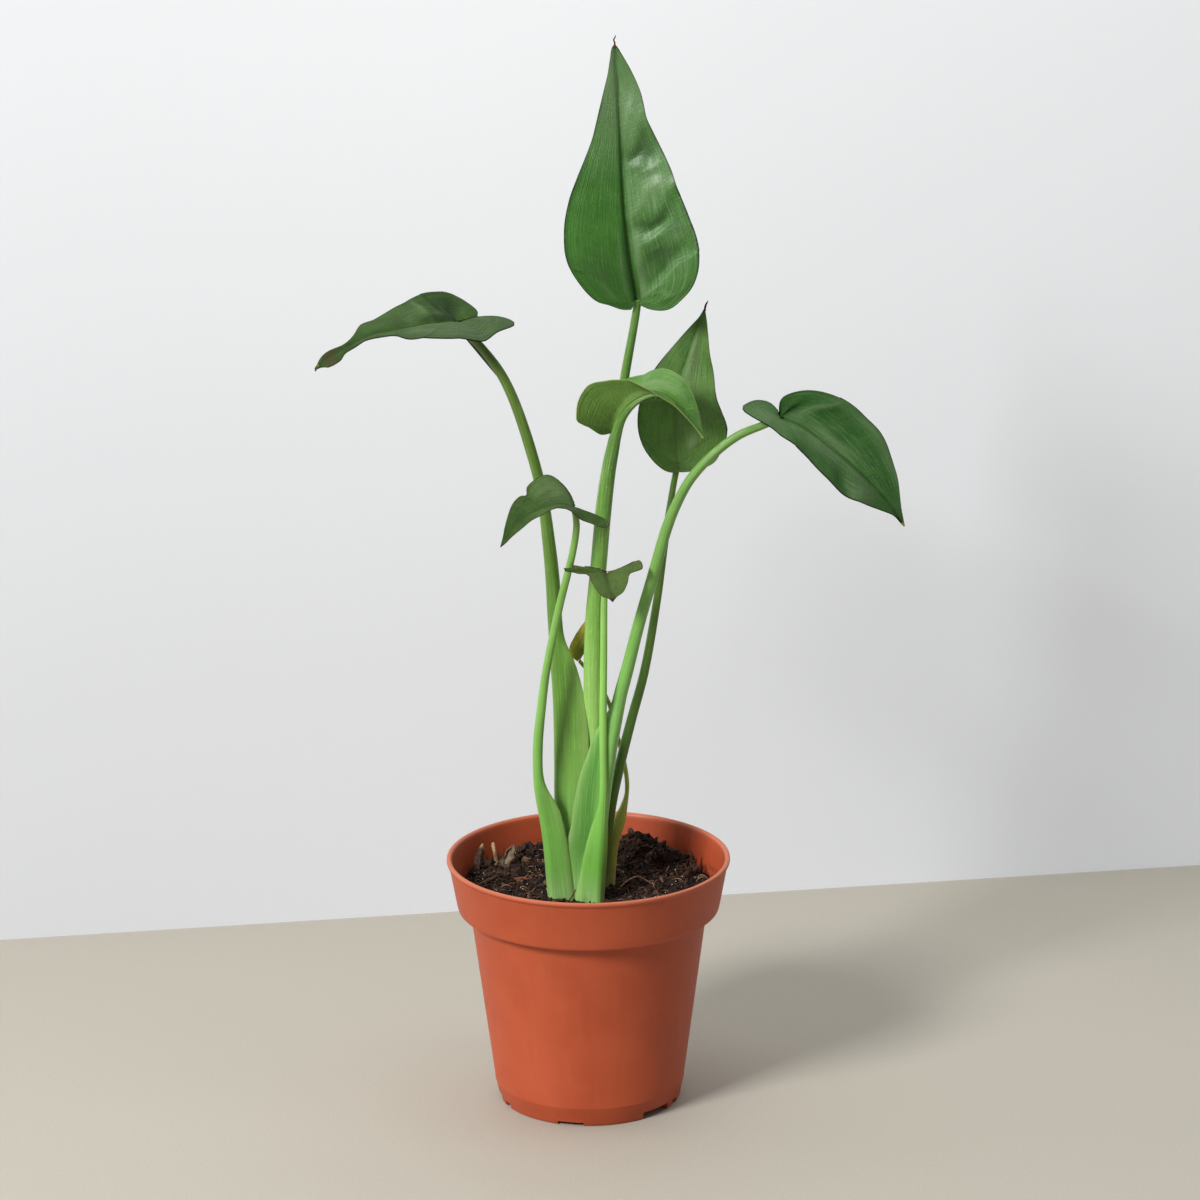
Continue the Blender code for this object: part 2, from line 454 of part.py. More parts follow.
def spin_profile(points, sides):
    bm = bmesh.new()
    verts = [bm.verts.new((r, 0, z)) for r, z in points]
    edges = [bm.edges.new(pair) for pair in zip(verts, verts[1:])]
    bmesh.ops.spin(bm, geom=verts + edges, axis=(0, 0, 1), cent=(0, 0, 0), steps=sides, angle=math.tau)
    bmesh.ops.remove_doubles(bm, verts=bm.verts, dist=1e-4)
    bmesh.ops.recalc_face_normals(bm, faces=bm.faces)
    return bm


def sector(r0, r1, z0, z1, middle, width):
    """A block that fills a ring sector between two radii; angles in degrees."""
    bm = bmesh.new()
    low, high = [], []
    steps = 3
    angles = [math.radians(middle + width * (i / steps - 0.5)) for i in range(steps + 1)]
    outline = [(r0, a) for a in angles] + [(r1, a) for a in reversed(angles)]
    for r, a in outline:
        # 0 degrees is the right-hand side and 90 the front
        low.append(bm.verts.new((r * math.cos(a), -r * math.sin(a), z0)))
        high.append(bm.verts.new((r * math.cos(a), -r * math.sin(a), z1)))
    bm.faces.new(low)
    bm.faces.new(high)
    for i in range(len(low)):
        k = (i + 1) % len(low)
        bm.faces.new((low[i], low[k], high[k], high[i]))
    bmesh.ops.recalc_face_normals(bm, faces=bm.faces)
    return bm


def drain_hole(x, y):
    """A round cutter that passes right through the bottom plate."""
    bm = bmesh.new()
    bmesh.ops.create_cone(bm, cap_ends=True, segments=16, radius1=DRAIN_R, radius2=DRAIN_R, depth=3 * FLOOR_T,
                          matrix=Matrix.Translation((x, y, PLATE_Z + FLOOR_T / 2)))
    return bm


def pot():
    made = add_piece("pot", spin_profile(pot_profile(), POT_SIDES), TERRACOTTA)
    for i, (middle, width) in enumerate(NOTCHES):
        cut(made, "notch_%d" % i, sector(FOOT_R - FOOT_RING - 2, FOOT_R + 2, -1, NOTCH_Z, middle, width))
        a = math.radians(middle)
        x, y = DRAIN_RING_R * math.cos(a), -DRAIN_RING_R * math.sin(a)
        cut(made, "drain_%d" % i, drain_hole(x, y))
    cut(made, "drain_middle", drain_hole(0, 0))
    return made


# --- soil, corm and what lies on the soil ---------------------------------------------------------
def on_circle(radius, i, sides=POT_SIDES):
    turn = math.tau * i / sides
    return radius * math.cos(turn), radius * math.sin(turn)


def join_rings(bm, a, b):
    for i in range(len(a)):
        k = (i + 1) % len(a)
        bm.faces.new((a[i], a[k], b[k], b[i]))


def soil_height(x, y):
    z = SOIL_Z
    for mx, my, height, spread in MOUNDS:
        z += height * math.exp(-((x - mx) ** 2 + (y - my) ** 2) / (2 * spread ** 2))
    return z


def soil():
    bm = bmesh.new()
    floor_z = PLATE_Z + FLOOR_T + GAP
    step_z = LEDGE_Z + LEDGE_T + GAP
    body_top_r = BODY_TOP_R - WALL - GAP
    below = [(BODY_LOW_R - WALL - GAP, floor_z), (body_top_r, step_z - 1.0), (body_top_r, step_z),
             (LEDGE_R - WALL - GAP, step_z)]
    loops = []
    for r, z in below:
        loops.append([bm.verts.new((*on_circle(r, i), z)) for i in range(POT_SIDES)])
    for r in SOIL_RINGS:
        loops.append([bm.verts.new((*on_circle(r, i), soil_height(*on_circle(r, i)))) for i in range(POT_SIDES)])
    for a, b in zip(loops, loops[1:]):
        join_rings(bm, a, b)
    bm.faces.new(loops[0][::-1])
    middle = bm.verts.new((0, 0, SOIL_Z))
    for i in range(POT_SIDES):
        bm.faces.new((loops[-1][i], loops[-1][(i + 1) % POT_SIDES], middle))
    bmesh.ops.recalc_face_normals(bm, faces=bm.faces)
    made = add_piece("soil", bm, PEAT)
    cut(made, "corm_hollow", corm_shape(GAP, 4.0))
    return made


def corm_shape(grow=0.0, taller=0.0, sides=24):
    """Squat, blunt-bottomed body; grow widens it all round and taller lengthens its straight top."""
    rings = [(CORM_LOW - grow, 0.45), (74, 0.72), (82, 0.92), (88, 1.0), (CORM_TOP + taller, 1.0)]
    bm = bmesh.new()
    rows = []
    for z, share in rings:
        ring = []
        for i in range(sides):
            x, y = on_circle(1.0, i, sides)
            ring.append(bm.verts.new((CORM_C[0] + (CORM_R[0] * share + grow) * x,
                                      CORM_C[1] + (CORM_R[1] * share + grow) * y, z)))
        rows.append(ring)
    for a, b in zip(rows, rows[1:]):
        join_rings(bm, a, b)
    bm.faces.new(rows[0][::-1])
    bm.faces.new(rows[-1])
    return bm


def twig(name, points, look, sides=7):
    """A tapering piece of wood or root; points are (x, y, z, radius)."""
    bm = bmesh.new()
    rows = []
    for i, (x, y, z, radius) in enumerate(points):
        before = Vector(points[max(i - 1, 0)][:3])
        after = Vector(points[min(i + 1, len(points) - 1)][:3])
        # the foot is cut level, the other rings stand square to the run
        along = after - before if i else Vector((0, 0, 1))
        turn = Vector((0, 0, 1)).rotation_difference(along)
        ring = [Vector((*on_circle(radius, j, sides), 0)) for j in range(sides)]
        rows.append([bm.verts.new(Vector((x, y, z)) + turn @ p) for p in ring])
    for a, b in zip(rows, rows[1:]):
        join_rings(bm, a, b)
    bm.faces.new(rows[0][::-1])
    bm.faces.new(rows[-1])
    bmesh.ops.recalc_face_normals(bm, faces=bm.faces)
    return add_piece(name, bm, look)


def dry_flake():
    """A curled scrap of dead leaf that stands on the soil."""
    foot = Vector((*FLAKE_FOOT, soil_height(*FLAKE_FOOT) + 1.2))
    bm = bmesh.new()
    rows = []
    steps = 4
    for i in range(steps + 1):
        share = i / steps
        x, y, z = foot + Vector(FLAKE_REACH) * share
        half = FLAKE_HALF * math.sin(math.pi * (0.18 + 0.7 * share))
        rows.append([bm.verts.new((x + half * u, y - 0.9 * u * u, z + 0.5 * u)) for u in (-1, 0, 1)])
    for a, b in zip(rows, rows[1:]):
        for j in range(2):
            bm.faces.new((a[j], a[j + 1], b[j + 1], b[j]))
    made = add_piece("dry_flake", bm, DRY_LEAF)
    solid = made.modifiers.new("thickness", "SOLIDIFY")
    solid.thickness = FLAKE_T * MM
    solid.offset = 0.0
    return made


def standing(x, y, radius):
    """Lowest height at which something of this radius can stand clear of the soil."""
    heights = [soil_height(x + radius * i, y + radius * j) for i in (-1, 0, 1) for j in (-1, 0, 1)]
    return max(heights) + GAP


def litter():
    z = standing(-47.5, 17, 2)
    twig("woody_stub", [(-47.5, 17, z, 2.2), (-47.2, 19, z + 3, 1.9), (-46.5, 22.5, z + 7, 1.5),
                        (-46, 25, z + 9.5, 0.8)], DARK_WOOD)
    z = standing(-40, 27, 1)
    twig("pale_twig", [(-40, 27, z, 0.9), (-40.3, 28, z + 4, 0.8), (-41.2, 29.4, z + 9, 0.7)], PALE_WOOD)
    z = standing(45, 22, 1.5)
    twig("bark_spike", [(45.3, 22, z, 1.3), (44.8, 22, z + 4, 1.0), (43.6, 22.3, z + 8.8, 0.3)], DARK_WOOD)
    z = standing(-11, -17, 0.5)
    twig("root_thread", [(-11.5, -17, z + 0.3, 0.35), (-9, -16.6, z + 3, 0.3), (-6.8, -16, z + 6, 0.3),
                         (-5.2, -15.5, z + 8.5, 0.25)], DARK_WOOD, sides=5)
    dry_flake()


def build():
    clear_scene()
    pot()
    soil()
    add_piece("corm", corm_shape(), CORM_BROWN)
    for key, leaf in LEAVES.items():
        blade("leaf_" + key, leaf)
        petiole("petiole_" + key, PETIOLES[key], leaf)
    litter()


build()
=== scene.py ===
# %% [markdown]
# # A young alocasia in a plastic nursery pot
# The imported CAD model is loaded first. It stays as the fixed frame: every piece made below takes the
# place of one CAD solid, in the same space, and rides on the same body.

# %% Load the frame
import math
import bpy
import numpy as np
from mathutils import Matrix, Vector, noise


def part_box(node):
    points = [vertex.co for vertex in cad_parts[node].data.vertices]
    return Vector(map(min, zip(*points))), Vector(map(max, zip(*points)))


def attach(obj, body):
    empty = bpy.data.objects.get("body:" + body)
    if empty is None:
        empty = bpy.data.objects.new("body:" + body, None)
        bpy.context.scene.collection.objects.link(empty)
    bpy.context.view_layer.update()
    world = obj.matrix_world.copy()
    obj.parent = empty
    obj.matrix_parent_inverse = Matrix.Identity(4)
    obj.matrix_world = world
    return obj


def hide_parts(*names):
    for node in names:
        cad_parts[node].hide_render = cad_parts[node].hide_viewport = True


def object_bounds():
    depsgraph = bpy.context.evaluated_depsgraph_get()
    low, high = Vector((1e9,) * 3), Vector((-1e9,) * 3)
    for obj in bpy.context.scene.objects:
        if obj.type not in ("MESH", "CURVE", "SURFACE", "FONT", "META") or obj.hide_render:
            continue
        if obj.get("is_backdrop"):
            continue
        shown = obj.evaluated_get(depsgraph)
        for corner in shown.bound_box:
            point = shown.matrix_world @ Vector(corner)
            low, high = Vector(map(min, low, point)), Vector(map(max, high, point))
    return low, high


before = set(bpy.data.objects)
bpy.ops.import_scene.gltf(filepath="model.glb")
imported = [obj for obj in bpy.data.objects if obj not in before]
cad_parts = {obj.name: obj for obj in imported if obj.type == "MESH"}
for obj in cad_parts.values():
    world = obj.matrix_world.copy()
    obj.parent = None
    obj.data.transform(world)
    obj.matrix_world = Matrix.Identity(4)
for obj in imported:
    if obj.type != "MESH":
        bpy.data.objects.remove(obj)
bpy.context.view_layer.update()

print("CAD nodes:", len(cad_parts))

# %% [markdown]
# All shapes below are written in millimetres from the pot's own axis, with the foot at height 0 and
# the front towards -Y. The pot isn't in the middle of the plant's footprint, so its axis is read from
# the CAD pot once and added to every point.

# %% The pot's axis
MM = 0.001
pot_low, pot_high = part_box("pot")
AXIS = Vector(((pot_low.x + pot_high.x) / 2, (pot_low.y + pot_high.y) / 2, 0.0))


def to_scene(points):
    """Millimetres from the pot's axis to metres in the scene."""
    return np.asarray(points, float) * MM + np.array(AXIS)


print("pot axis at x = %.4f m" % AXIS.x)

# %% [markdown]
# A long lens from a little above the leaves keeps the pot's sides nearly parallel, as in a catalogue
# picture of a house plant. The camera tips down 15.66 degrees.

# %% Camera
view = bpy.data.cameras.new("view")
view.lens, view.sensor_width = 120.0, 36.0
camera = bpy.data.objects.new("camera", view)
bpy.context.scene.collection.objects.link(camera)
camera.matrix_world = (Matrix.Translation(AXIS + Vector((0.0055, -1.6013, 0.6683)))
                       @ Matrix.Rotation(math.radians(74.34), 4, "X")
                       @ Matrix.Rotation(math.radians(-0.3), 4, "Z"))
bpy.context.scene.camera = camera

# %% [markdown]
# Finishes are wired node by node. This small bench keeps the wiring short: it adds one node, sets or
# links its sockets and hands back its output. Whatever is even all over a surface is set straight on
# the shader's socket.

# %% A bench for finishes


def paint(red, green, blue):
    """A colour as a paint chart gives it (0 to 255), turned into the linear values that shaders need."""
    parts = [c / 255 for c in (red, green, blue)]
    return tuple(c / 12.92 if c <= 0.04045 else ((c + 0.055) / 1.055) ** 2.4 for c in parts) + (1.0,)


class Finish:
    """One procedural material. Its colours are written as a paint chart gives them, 0 to 255."""

    def __init__(self, name, roughness=0.5, specular=0.5, coat=0.0, coat_roughness=0.3, thin_glow=0.0):
        self.material = bpy.data.materials.new(name)
        self.material.use_nodes = True
        self.tree = self.material.node_tree
        self.shader = self.tree.nodes["Principled BSDF"]
        even = {"Roughness": roughness, "Specular IOR Level": specular, "Coat Weight": coat,
                "Coat Roughness": coat_roughness, "Subsurface Weight": thin_glow}
        if thin_glow:
            even.update({"Subsurface Scale": 0.002, "Subsurface Radius": (0.6, 1.0, 0.25)})
        for socket, value in even.items():
            self.shader.inputs[socket].default_value = value

    def link(self, value, socket):
        if isinstance(value, bpy.types.NodeSocket):
            self.tree.links.new(value, socket)
        else:
            socket.default_value = value

    def add(self, kind, output=0, settings=(), **sockets):
        node = self.tree.nodes.new("ShaderNode" + kind)
        for key, value in settings:
            setattr(node, key, value)
        for key, value in sockets.items():
            key = int(key[1:]) if key[0] == "i" and key[1:].isdigit() else key.replace("_", " ")
            self.link(value, node.inputs[key])
        return node.outputs[output]

    def read(self, name):
        """A number that the mesh carries at each of its points."""
        return self.add("Attribute", "Fac", [("attribute_name", name)])

    def place(self, *scale):
        """Object coordinates, stretched by scale (per metre)."""
        return self.add("Mapping", Vector=self.add("TexCoord", "Object"), Scale=scale if len(scale) == 3 else scale * 3)

    def along_axis(self, axis):
        """The place along the object's X, Y or Z axis, in metres."""
        return self.add("SeparateXYZ", axis, Vector=self.add("TexCoord", "Object"))

    def join(self, x, y):
        return self.add("CombineXYZ", X=x, Y=y)

    def math(self, what, a, b=0.0):
        return self.add("Math", 0, [("operation", what)], i0=a, i1=b)

    def times(self, a, b):
        return self.math("MULTIPLY", a, b)

    def between(self, value, low, high, to_low=0.0, to_high=1.0):
        """Value from low..high carried smoothly to to_low..to_high, and held beyond them."""
        return self.add("MapRange", 0, [("interpolation_type", "SMOOTHSTEP")], Value=value,
                        From_Min=low, From_Max=high, To_Min=to_low, To_Max=to_high)

    def grain(self, where, scale=1.0, detail=4.0, roughness=0.55):
        return self.add("TexNoise", "Fac", Vector=where, Scale=scale, Detail=detail, Roughness=roughness)

    def coats(self, colour, *coats):
        """A first colour, turned towards the colour of each (share, colour) coat in turn."""
        for share, next_colour in coats:
            node = self.tree.nodes.new("ShaderNodeMix")
            node.data_type = "RGBA"
            for place, value in ((0, share), (6, colour), (7, next_colour)):
                self.link(paint(*value) if isinstance(value, (tuple, list)) else value, node.inputs[place])
            colour = node.outputs[2]
        return colour

    def relief(self, height, deep_mm, **under):
        """Bump whose full height is deep_mm millimetres; Normal=... lays it over another bump."""
        return self.add("Bump", 0, Strength=1.0, Distance=deep_mm * MM, Height=height, **under)

    def finish(self, colour, roughness=None, normal=None):
        for socket, value in (("Base Color", colour), ("Roughness", roughness), ("Normal", normal)):
            if value is not None:
                self.link(value, self.shader.inputs[socket])
        return self.material


# %% [markdown]
# The stage is a pale sand table top that ends at a grey wall, which stands slightly turned. The wall's grey is painted
# lighter towards the top and darker towards the left as painted shade, and it glows faintly as painted light. The wall
# lets light through from behind, so the plant can also be looked at from the back.

# %% Table top and wall
WALL_TURN = math.radians(9.48)
WALL_Y = 0.2356             # how far the wall stands behind the pot's axis
STAGE_REACH, TABLE_FRONT, WALL_TOP = 2.2, -2.4, 2.6


def flat_panel(name, finish, *corners):
    mesh = bpy.data.meshes.new(name)
    mesh.from_pydata([AXIS + Vector(c) for c in corners], [], [(0, 1, 2, 3)])
    mesh.materials.append(finish)
    panel = bpy.data.objects.new(name, mesh)
    bpy.context.scene.collection.objects.link(panel)
    panel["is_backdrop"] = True


sand = Finish("sand_table_top", roughness=0.62, specular=0.25)
speck = sand.grain(sand.place(900.0), detail=2.0)
sand.finish(sand.coats((180, 175, 162), (sand.between(speck, 0.3, 0.7), (185, 180, 167))))

plaster = Finish("grey_wall", roughness=0.9, specular=0.1)
# Painted light: the wall glows faintly, and below its grey is painted lighter towards the top and darker towards the
# left as painted shade.
plaster.shader.inputs["Emission Color"].default_value = (1.0, 1.0, 1.0, 1.0)
plaster.shader.inputs["Emission Strength"].default_value = 0.12
plaster.finish(plaster.coats((216, 219, 225), (plaster.between(plaster.along_axis("Z"), 0.0, 0.55), (232, 235, 240)),
                             (plaster.between(plaster.along_axis("X"), 0.0, -0.3, 0.0, 0.13), (90, 90, 92))))
two_sides = plaster.add("MixShader", i0=plaster.add("NewGeometry", "Backfacing"), i1=plaster.shader.outputs[0],
                        i2=plaster.add("BsdfTransparent"))
plaster.link(two_sides, plaster.tree.nodes["Material Output"].inputs["Surface"])

left, right = [(x, WALL_Y + x * math.tan(WALL_TURN)) for x in (-STAGE_REACH, STAGE_REACH)]
flat_panel("table_top", sand.material, (left[0], TABLE_FRONT, 0), (right[0], TABLE_FRONT, 0), (*right, 0), (*left, 0))
flat_panel("wall", plaster.material, (*left, 0), (*right, 0), (*right, WALL_TOP), (*left, WALL_TOP))

# %% [markdown]
# The light is a large soft box in front and to the left, a faint broad one overhead that washes down
# the wall, and an even grey surround that keeps the shadows open.

# %% Lights


def soft_box(name, place, aim, width, height, power, tint=(1, 1, 1)):
    lamp = bpy.data.lights.new(name, "AREA")
    lamp.shape, lamp.size, lamp.size_y = "RECTANGLE", width, height
    lamp.energy, lamp.color = power, tint
    box = bpy.data.objects.new(name, lamp)
    bpy.context.scene.collection.objects.link(box)
    box.location = AXIS + Vector(place)
    box.rotation_mode = "QUATERNION"
    box.rotation_quaternion = (AXIS + Vector(aim) - box.location).to_track_quat("-Z", "Y")


soft_box("key_box", (-1.6, -1.65, 1.75), (0, 0, 0.15), 0.7, 0.7, 77.0, (1.0, 0.994, 0.984))
soft_box("wall_wash", (0.3, -0.2, 1.85), (0.25, 0.26, 0.5), 1.7, 0.5, 7.0)
surround = bpy.data.worlds.new("surround")
surround.use_nodes = True
grey = surround.node_tree.nodes["Background"].inputs
grey["Color"].default_value, grey["Strength"].default_value = (1.0, 1.0, 1.0, 1.0), 0.213
bpy.context.scene.world = surround
bpy.context.scene.view_settings.view_transform = "Standard"

# %% [markdown]
# Every piece starts as one of Blender's primitives and ends with its object at the origin and its place in its mesh.
# `sheet_of_cells` adds the grid that blades, stalks and soil are drawn out of, `dress` gives a piece its finish, and
# `settle` gives it its body and hides the CAD node it stands in for.

# %% Starting and finishing a piece


def select_only(obj):
    bpy.ops.object.select_all(action="DESELECT")
    obj.select_set(True)
    bpy.context.view_layer.objects.active = obj


def sheet_of_cells(name, rows, columns):
    """A flat grid of rows x columns cells. Also gives the row and the column of each of its points."""
    bpy.ops.mesh.primitive_grid_add(x_subdivisions=rows, y_subdivisions=columns, size=2.0)
    sheet = bpy.context.object
    sheet.name = sheet.data.name = name
    flat = get_points(sheet)
    row = np.rint((flat[:, 0] + 1) / 2 * rows).astype(int)
    column = np.rint((flat[:, 1] + 1) / 2 * columns).astype(int)
    return sheet, row, column


def get_points(obj):
    flat = np.empty(len(obj.data.vertices) * 3)
    obj.data.vertices.foreach_get("co", flat)
    return flat.reshape(-1, 3)


def set_points(obj, points):
    obj.data.vertices.foreach_set("co", np.ascontiguousarray(points, float).ravel())
    obj.data.update()


def carry(obj, name, values):
    """Let the mesh carry a number at each point, for its finish to read."""
    layer = obj.data.attributes.new(name, "FLOAT", "POINT")
    layer.data.foreach_set("value", np.ascontiguousarray(values, np.float32))


def close_seams(obj, gap=2e-6, solid=True):
    """Merge points that meet; a solid also gets its open ends filled and its faces turned outwards."""
    select_only(obj)
    bpy.ops.object.mode_set(mode="EDIT")
    bpy.ops.mesh.select_all(action="SELECT")
    bpy.ops.mesh.remove_doubles(threshold=gap)
    if solid:
        bpy.ops.mesh.fill_holes(sides=0)
        bpy.ops.mesh.select_all(action="SELECT")
        bpy.ops.mesh.normals_make_consistent(inside=False)
    bpy.ops.object.mode_set(mode="OBJECT")


def dress(obj, *finishes):
    obj.data.materials.clear()
    for finish in finishes:
        obj.data.materials.append(finish)


def apply_modifiers(obj):
    select_only(obj)
    for modifier in list(obj.modifiers):
        bpy.ops.object.modifier_apply(modifier=modifier.name)


def settle(obj, node, smooth=180):
    select_only(obj)
    bpy.ops.object.transform_apply(location=True, rotation=True, scale=True)
    bpy.ops.object.shade_smooth_by_angle(angle=math.radians(smooth))
    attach(obj, "root")
    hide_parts(node)
    print("%-18s %6d faces" % (obj.name, len(obj.data.polygons)))


# %% [markdown]
# ## The pot
# A 12 cm nursery pot is moulded from one thin wall: a cone with a wide band round its top, a bead on
# the rim, a foot ring with notches and drain holes in the bottom. It can be spun from a half section.
# Here a circle is extruded and resized from ring to ring, as one would by hand, from the middle of the
# floor up the inside, over the rim and down the outside to the foot.

# %% Pot: the wall, ring by ring
POT_SIDES = 168
POT_RINGS = [
    # inside, from the floor to the rim
    (20, 4.2), (36.5, 4.2), (38.2, 4.6), (38.6, 6.0), (48.6, 84.0), (49.3, 85.4), (53.0, 86.0), (53.9, 86.3),
    (54.2, 87.4), (57.4, 104.6), (57.7, 106.0), (58.1, 106.8), (58.7, 107.1),
    # the bead and the outside of the band
    (59.4, 107.1), (59.85, 106.85), (60.0, 106.4), (60.0, 105.9), (59.85, 105.45), (59.5, 105.2), (59.15, 104.95),
    (58.98, 104.4), (55.95, 87.6), (55.6, 86.0), (55.35, 85.2), (54.9, 84.75), (54.2, 84.6), (50.9, 84.6),
    (50.35, 84.4), (50.25, 83.8),
    # the body, a faint mould ring low down, the foot ring and the underside
    (40.5, 8.8), (40.58, 8.6), (40.55, 8.3), (40.36, 8.15), (40.05, 6.6), (39.95, 6.4), (39.0, 1.0), (38.7, 0.4),
    (38.2, 0.0), (37.0, 0.0), (36.5, 0.4), (36.4, 2.8), (20, 2.8),
]


def ring_by_ring(name, rings, sides):
    """Extrude a circle from ring to ring, each given as (radius, height) in millimetres."""
    radius, height = rings[0]
    bpy.ops.mesh.primitive_circle_add(vertices=sides, radius=radius * MM, fill_type="NOTHING",
                                      location=AXIS + Vector((0, 0, height * MM)))
    made = bpy.context.object
    made.name = made.data.name = name
    bpy.ops.object.mode_set(mode="EDIT")
    bpy.ops.mesh.select_all(action="SELECT")
    for wider, higher in rings[1:]:
        bpy.ops.mesh.extrude_region_move(TRANSFORM_OT_translate={"value": (0, 0, (higher - height) * MM)})
        grow = wider / radius
        bpy.ops.transform.resize(value=(grow, grow, 1), center_override=AXIS)
        radius, height = wider, higher
    bpy.ops.object.mode_set(mode="OBJECT")
    bpy.ops.object.transform_apply(location=True, rotation=True, scale=True)
    close_seams(made)
    return made


pot = ring_by_ring("nursery_pot", POT_RINGS, POT_SIDES)
print("pot rings:", len(POT_RINGS))

# %% [markdown]
# The notches let water run out from under the pot. They are cut from the foot ring with plain blocks,
# three wide ones with a small tooth left at one end, and three narrow ones between them. Seven round
# holes go through the bottom. Each cutter is a primitive and is thrown away after its cut.

# %% Pot: notches and drain holes


def cut_out(target, cutter):
    select_only(cutter)
    bpy.ops.object.transform_apply(location=True, rotation=True, scale=True)
    boolean = target.modifiers.new("cut", "BOOLEAN")
    boolean.operation, boolean.solver, boolean.object = "DIFFERENCE", "EXACT", cutter
    apply_modifiers(target)
    bpy.data.objects.remove(cutter, do_unlink=True)


def foot_point(degrees, radius, height):
    """0 degrees is the right-hand side and 90 the front."""
    turn = math.radians(degrees)
    return AXIS + Vector((radius * math.cos(turn), -radius * math.sin(turn), height)) * MM


FOOT_R, HOLE_R, HOLES_AT, WALL = 38, 3, 26, 7            # WALL: how far a block reaches through the foot
NOTCHES = [(167, 36, 3.3), (102, 17, 1.7), (37, 36, 3.3), (-18, 17, 1.7), (-78, 36, 3.3), (-138, 17, 1.7)]
for middle, width, high in NOTCHES:
    wide = [(middle + 6.5, width - 13, high), (middle - 14.5, 7, high * 0.75)]      # the tooth stays between
    for turn, span, tall in wide if width > 20 else [(middle, width, high)]:
        across = 2 * FOOT_R * math.sin(math.radians(span / 2)) * MM
        bpy.ops.mesh.primitive_cube_add(size=1, location=foot_point(turn, FOOT_R, tall / 2 - 1),
                                        rotation=(0, 0, math.radians(-turn)))
        bpy.context.object.scale = (WALL * MM, across, (tall + 2) * MM)
        cut_out(pot, bpy.context.object)
for turn, radius in [(middle, HOLES_AT) for middle, _, _ in NOTCHES] + [(0, 0)]:
    bpy.ops.mesh.primitive_cylinder_add(vertices=32, radius=HOLE_R * MM, depth=6 * MM,
                                        location=foot_point(turn, radius, 3.5))
    cut_out(pot, bpy.context.object)
print("pot faces:", len(pot.data.polygons))

# %% [markdown]
# The plastic is a satin terracotta colour. Moulding leaves it slightly cloudy and faintly pitted, the rim's bead
# carries a thin painted highlight in a lighter colour, and dust from the soil clings to the inside above the bed.

# %% Pot: terracotta plastic
plastic = Finish("terracotta_plastic", roughness=0.46, specular=0.3)
height = plastic.along_axis("Z")
cloud = plastic.grain(plastic.place(45.0), detail=3.0)
pitted = plastic.grain(plastic.place(2600.0), detail=2.0)
drawn = plastic.grain(plastic.place(260.0, 260.0, 22.0), detail=3.0)
dusty = plastic.times(plastic.read("inside"), plastic.between(height, 0.0985, 0.092))
grime = plastic.between(plastic.grain(plastic.place(380.0), detail=5.0), 0.42, 0.62)
body = plastic.coats(
    (172, 74, 43),
    (plastic.between(cloud, 0.3, 0.7), (180, 81, 48)),
    (plastic.between(drawn, 0.45, 0.75, 0.0, 0.18), (188, 94, 60)),
    # painted highlight: a thin lighter band round the top of the rim's bead
    (plastic.between(height, 0.1056, 0.1070, 0.0, 0.5), (208, 128, 98)),
    (plastic.times(plastic.times(dusty, grime), 0.75), (70, 38, 27)))
scuffed = plastic.between(cloud, 0.3, 0.7, 0.42, 0.52)
plastic.finish(body, scuffed, plastic.relief(pitted, 0.035, Normal=plastic.relief(cloud, 0.12)))
pot_points = get_points(pot) - np.array(AXIS)
from_axis = np.hypot(pot_points[:, 0], pot_points[:, 1]) / MM
height = pot_points[:, 2] / MM
wall_middle = np.interp(height, [6, 84, 86, 87, 103, 107], [39.3, 49.5, 54, 55, 58, 58.7])
carry(pot, "inside", (from_axis < wall_middle) & (height > 20))
dress(pot, plastic.material)
settle(pot, "pot", smooth=38)

# %% [markdown]
# ## The soil
# Potting soil is dark peat, loose and crumbly: a hollow-and-heap surface, covered with thousands of crumbs, chopped
# fibres and a few pale specks, which stand for bits of perlite and also serve as painted glints of light on the damp
# peat. The bed is a grid bent into a disc that follows the heaps of the CAD soil. Its rim turns down along the pot's
# wall and closes below.

# %% Soil: heaps and hollows
SOIL_Z, SOIL_R = 91.5, 54.0
MOUNDS = [  # x, y, height, spread
    (22, 37, 9.5, 7.0), (34, 28, 6.0, 7.0), (11, 42, 3.2, 7), (-24, 37, 5.5, 9), (-44, 18, 3.6, 10),
    (40, 8, 1.4, 9), (-34, -8, 0.9, 9), (26, -22, 0.7, 8), (17, -2, -2.6, 6), (-2, -22, -2.6, 9),
]


def soil_height(x, y):
    z = SOIL_Z - 0.4
    for mound_x, mound_y, height, spread in MOUNDS:
        z += height * math.exp(-((x - mound_x) ** 2 + (y - mound_y) ** 2) / (2 * spread ** 2))
    lumps = 1.1 * noise.noise((x / 7, y / 7, 3.1)) + 0.7 * noise.noise((x / 3, y / 3, 8.4))
    return z + (lumps + 0.4 * noise.noise((x / 1.3, y / 1.3, 1.7)))


SOIL_COLUMNS, SOIL_ROWS = 144, 64
bed, ring, turn_step = sheet_of_cells("soil_bed", SOIL_ROWS, SOIL_COLUMNS)
DOWN = [(54.0, 90.5), (53.9, 87), (53.2, 86.6), (48.4, 86.4), (38.1, 4.6)]     # the bed's wall, from its rim down
top_rings = SOIL_ROWS - len(DOWN)
points = np.zeros((len(ring), 3))
for k, (i, j) in enumerate(zip(ring, turn_step)):
    turn = -math.tau * j / SOIL_COLUMNS
    radius, height = (SOIL_R * i / top_rings, None) if i <= top_rings else DOWN[i - top_rings - 1]
    x, y = radius * math.cos(turn), radius * math.sin(turn)
    points[k] = (x, y, soil_height(x, y) if height is None else height)
set_points(bed, to_scene(points))
close_seams(bed)
print("soil bed points:", len(bed.data.vertices))

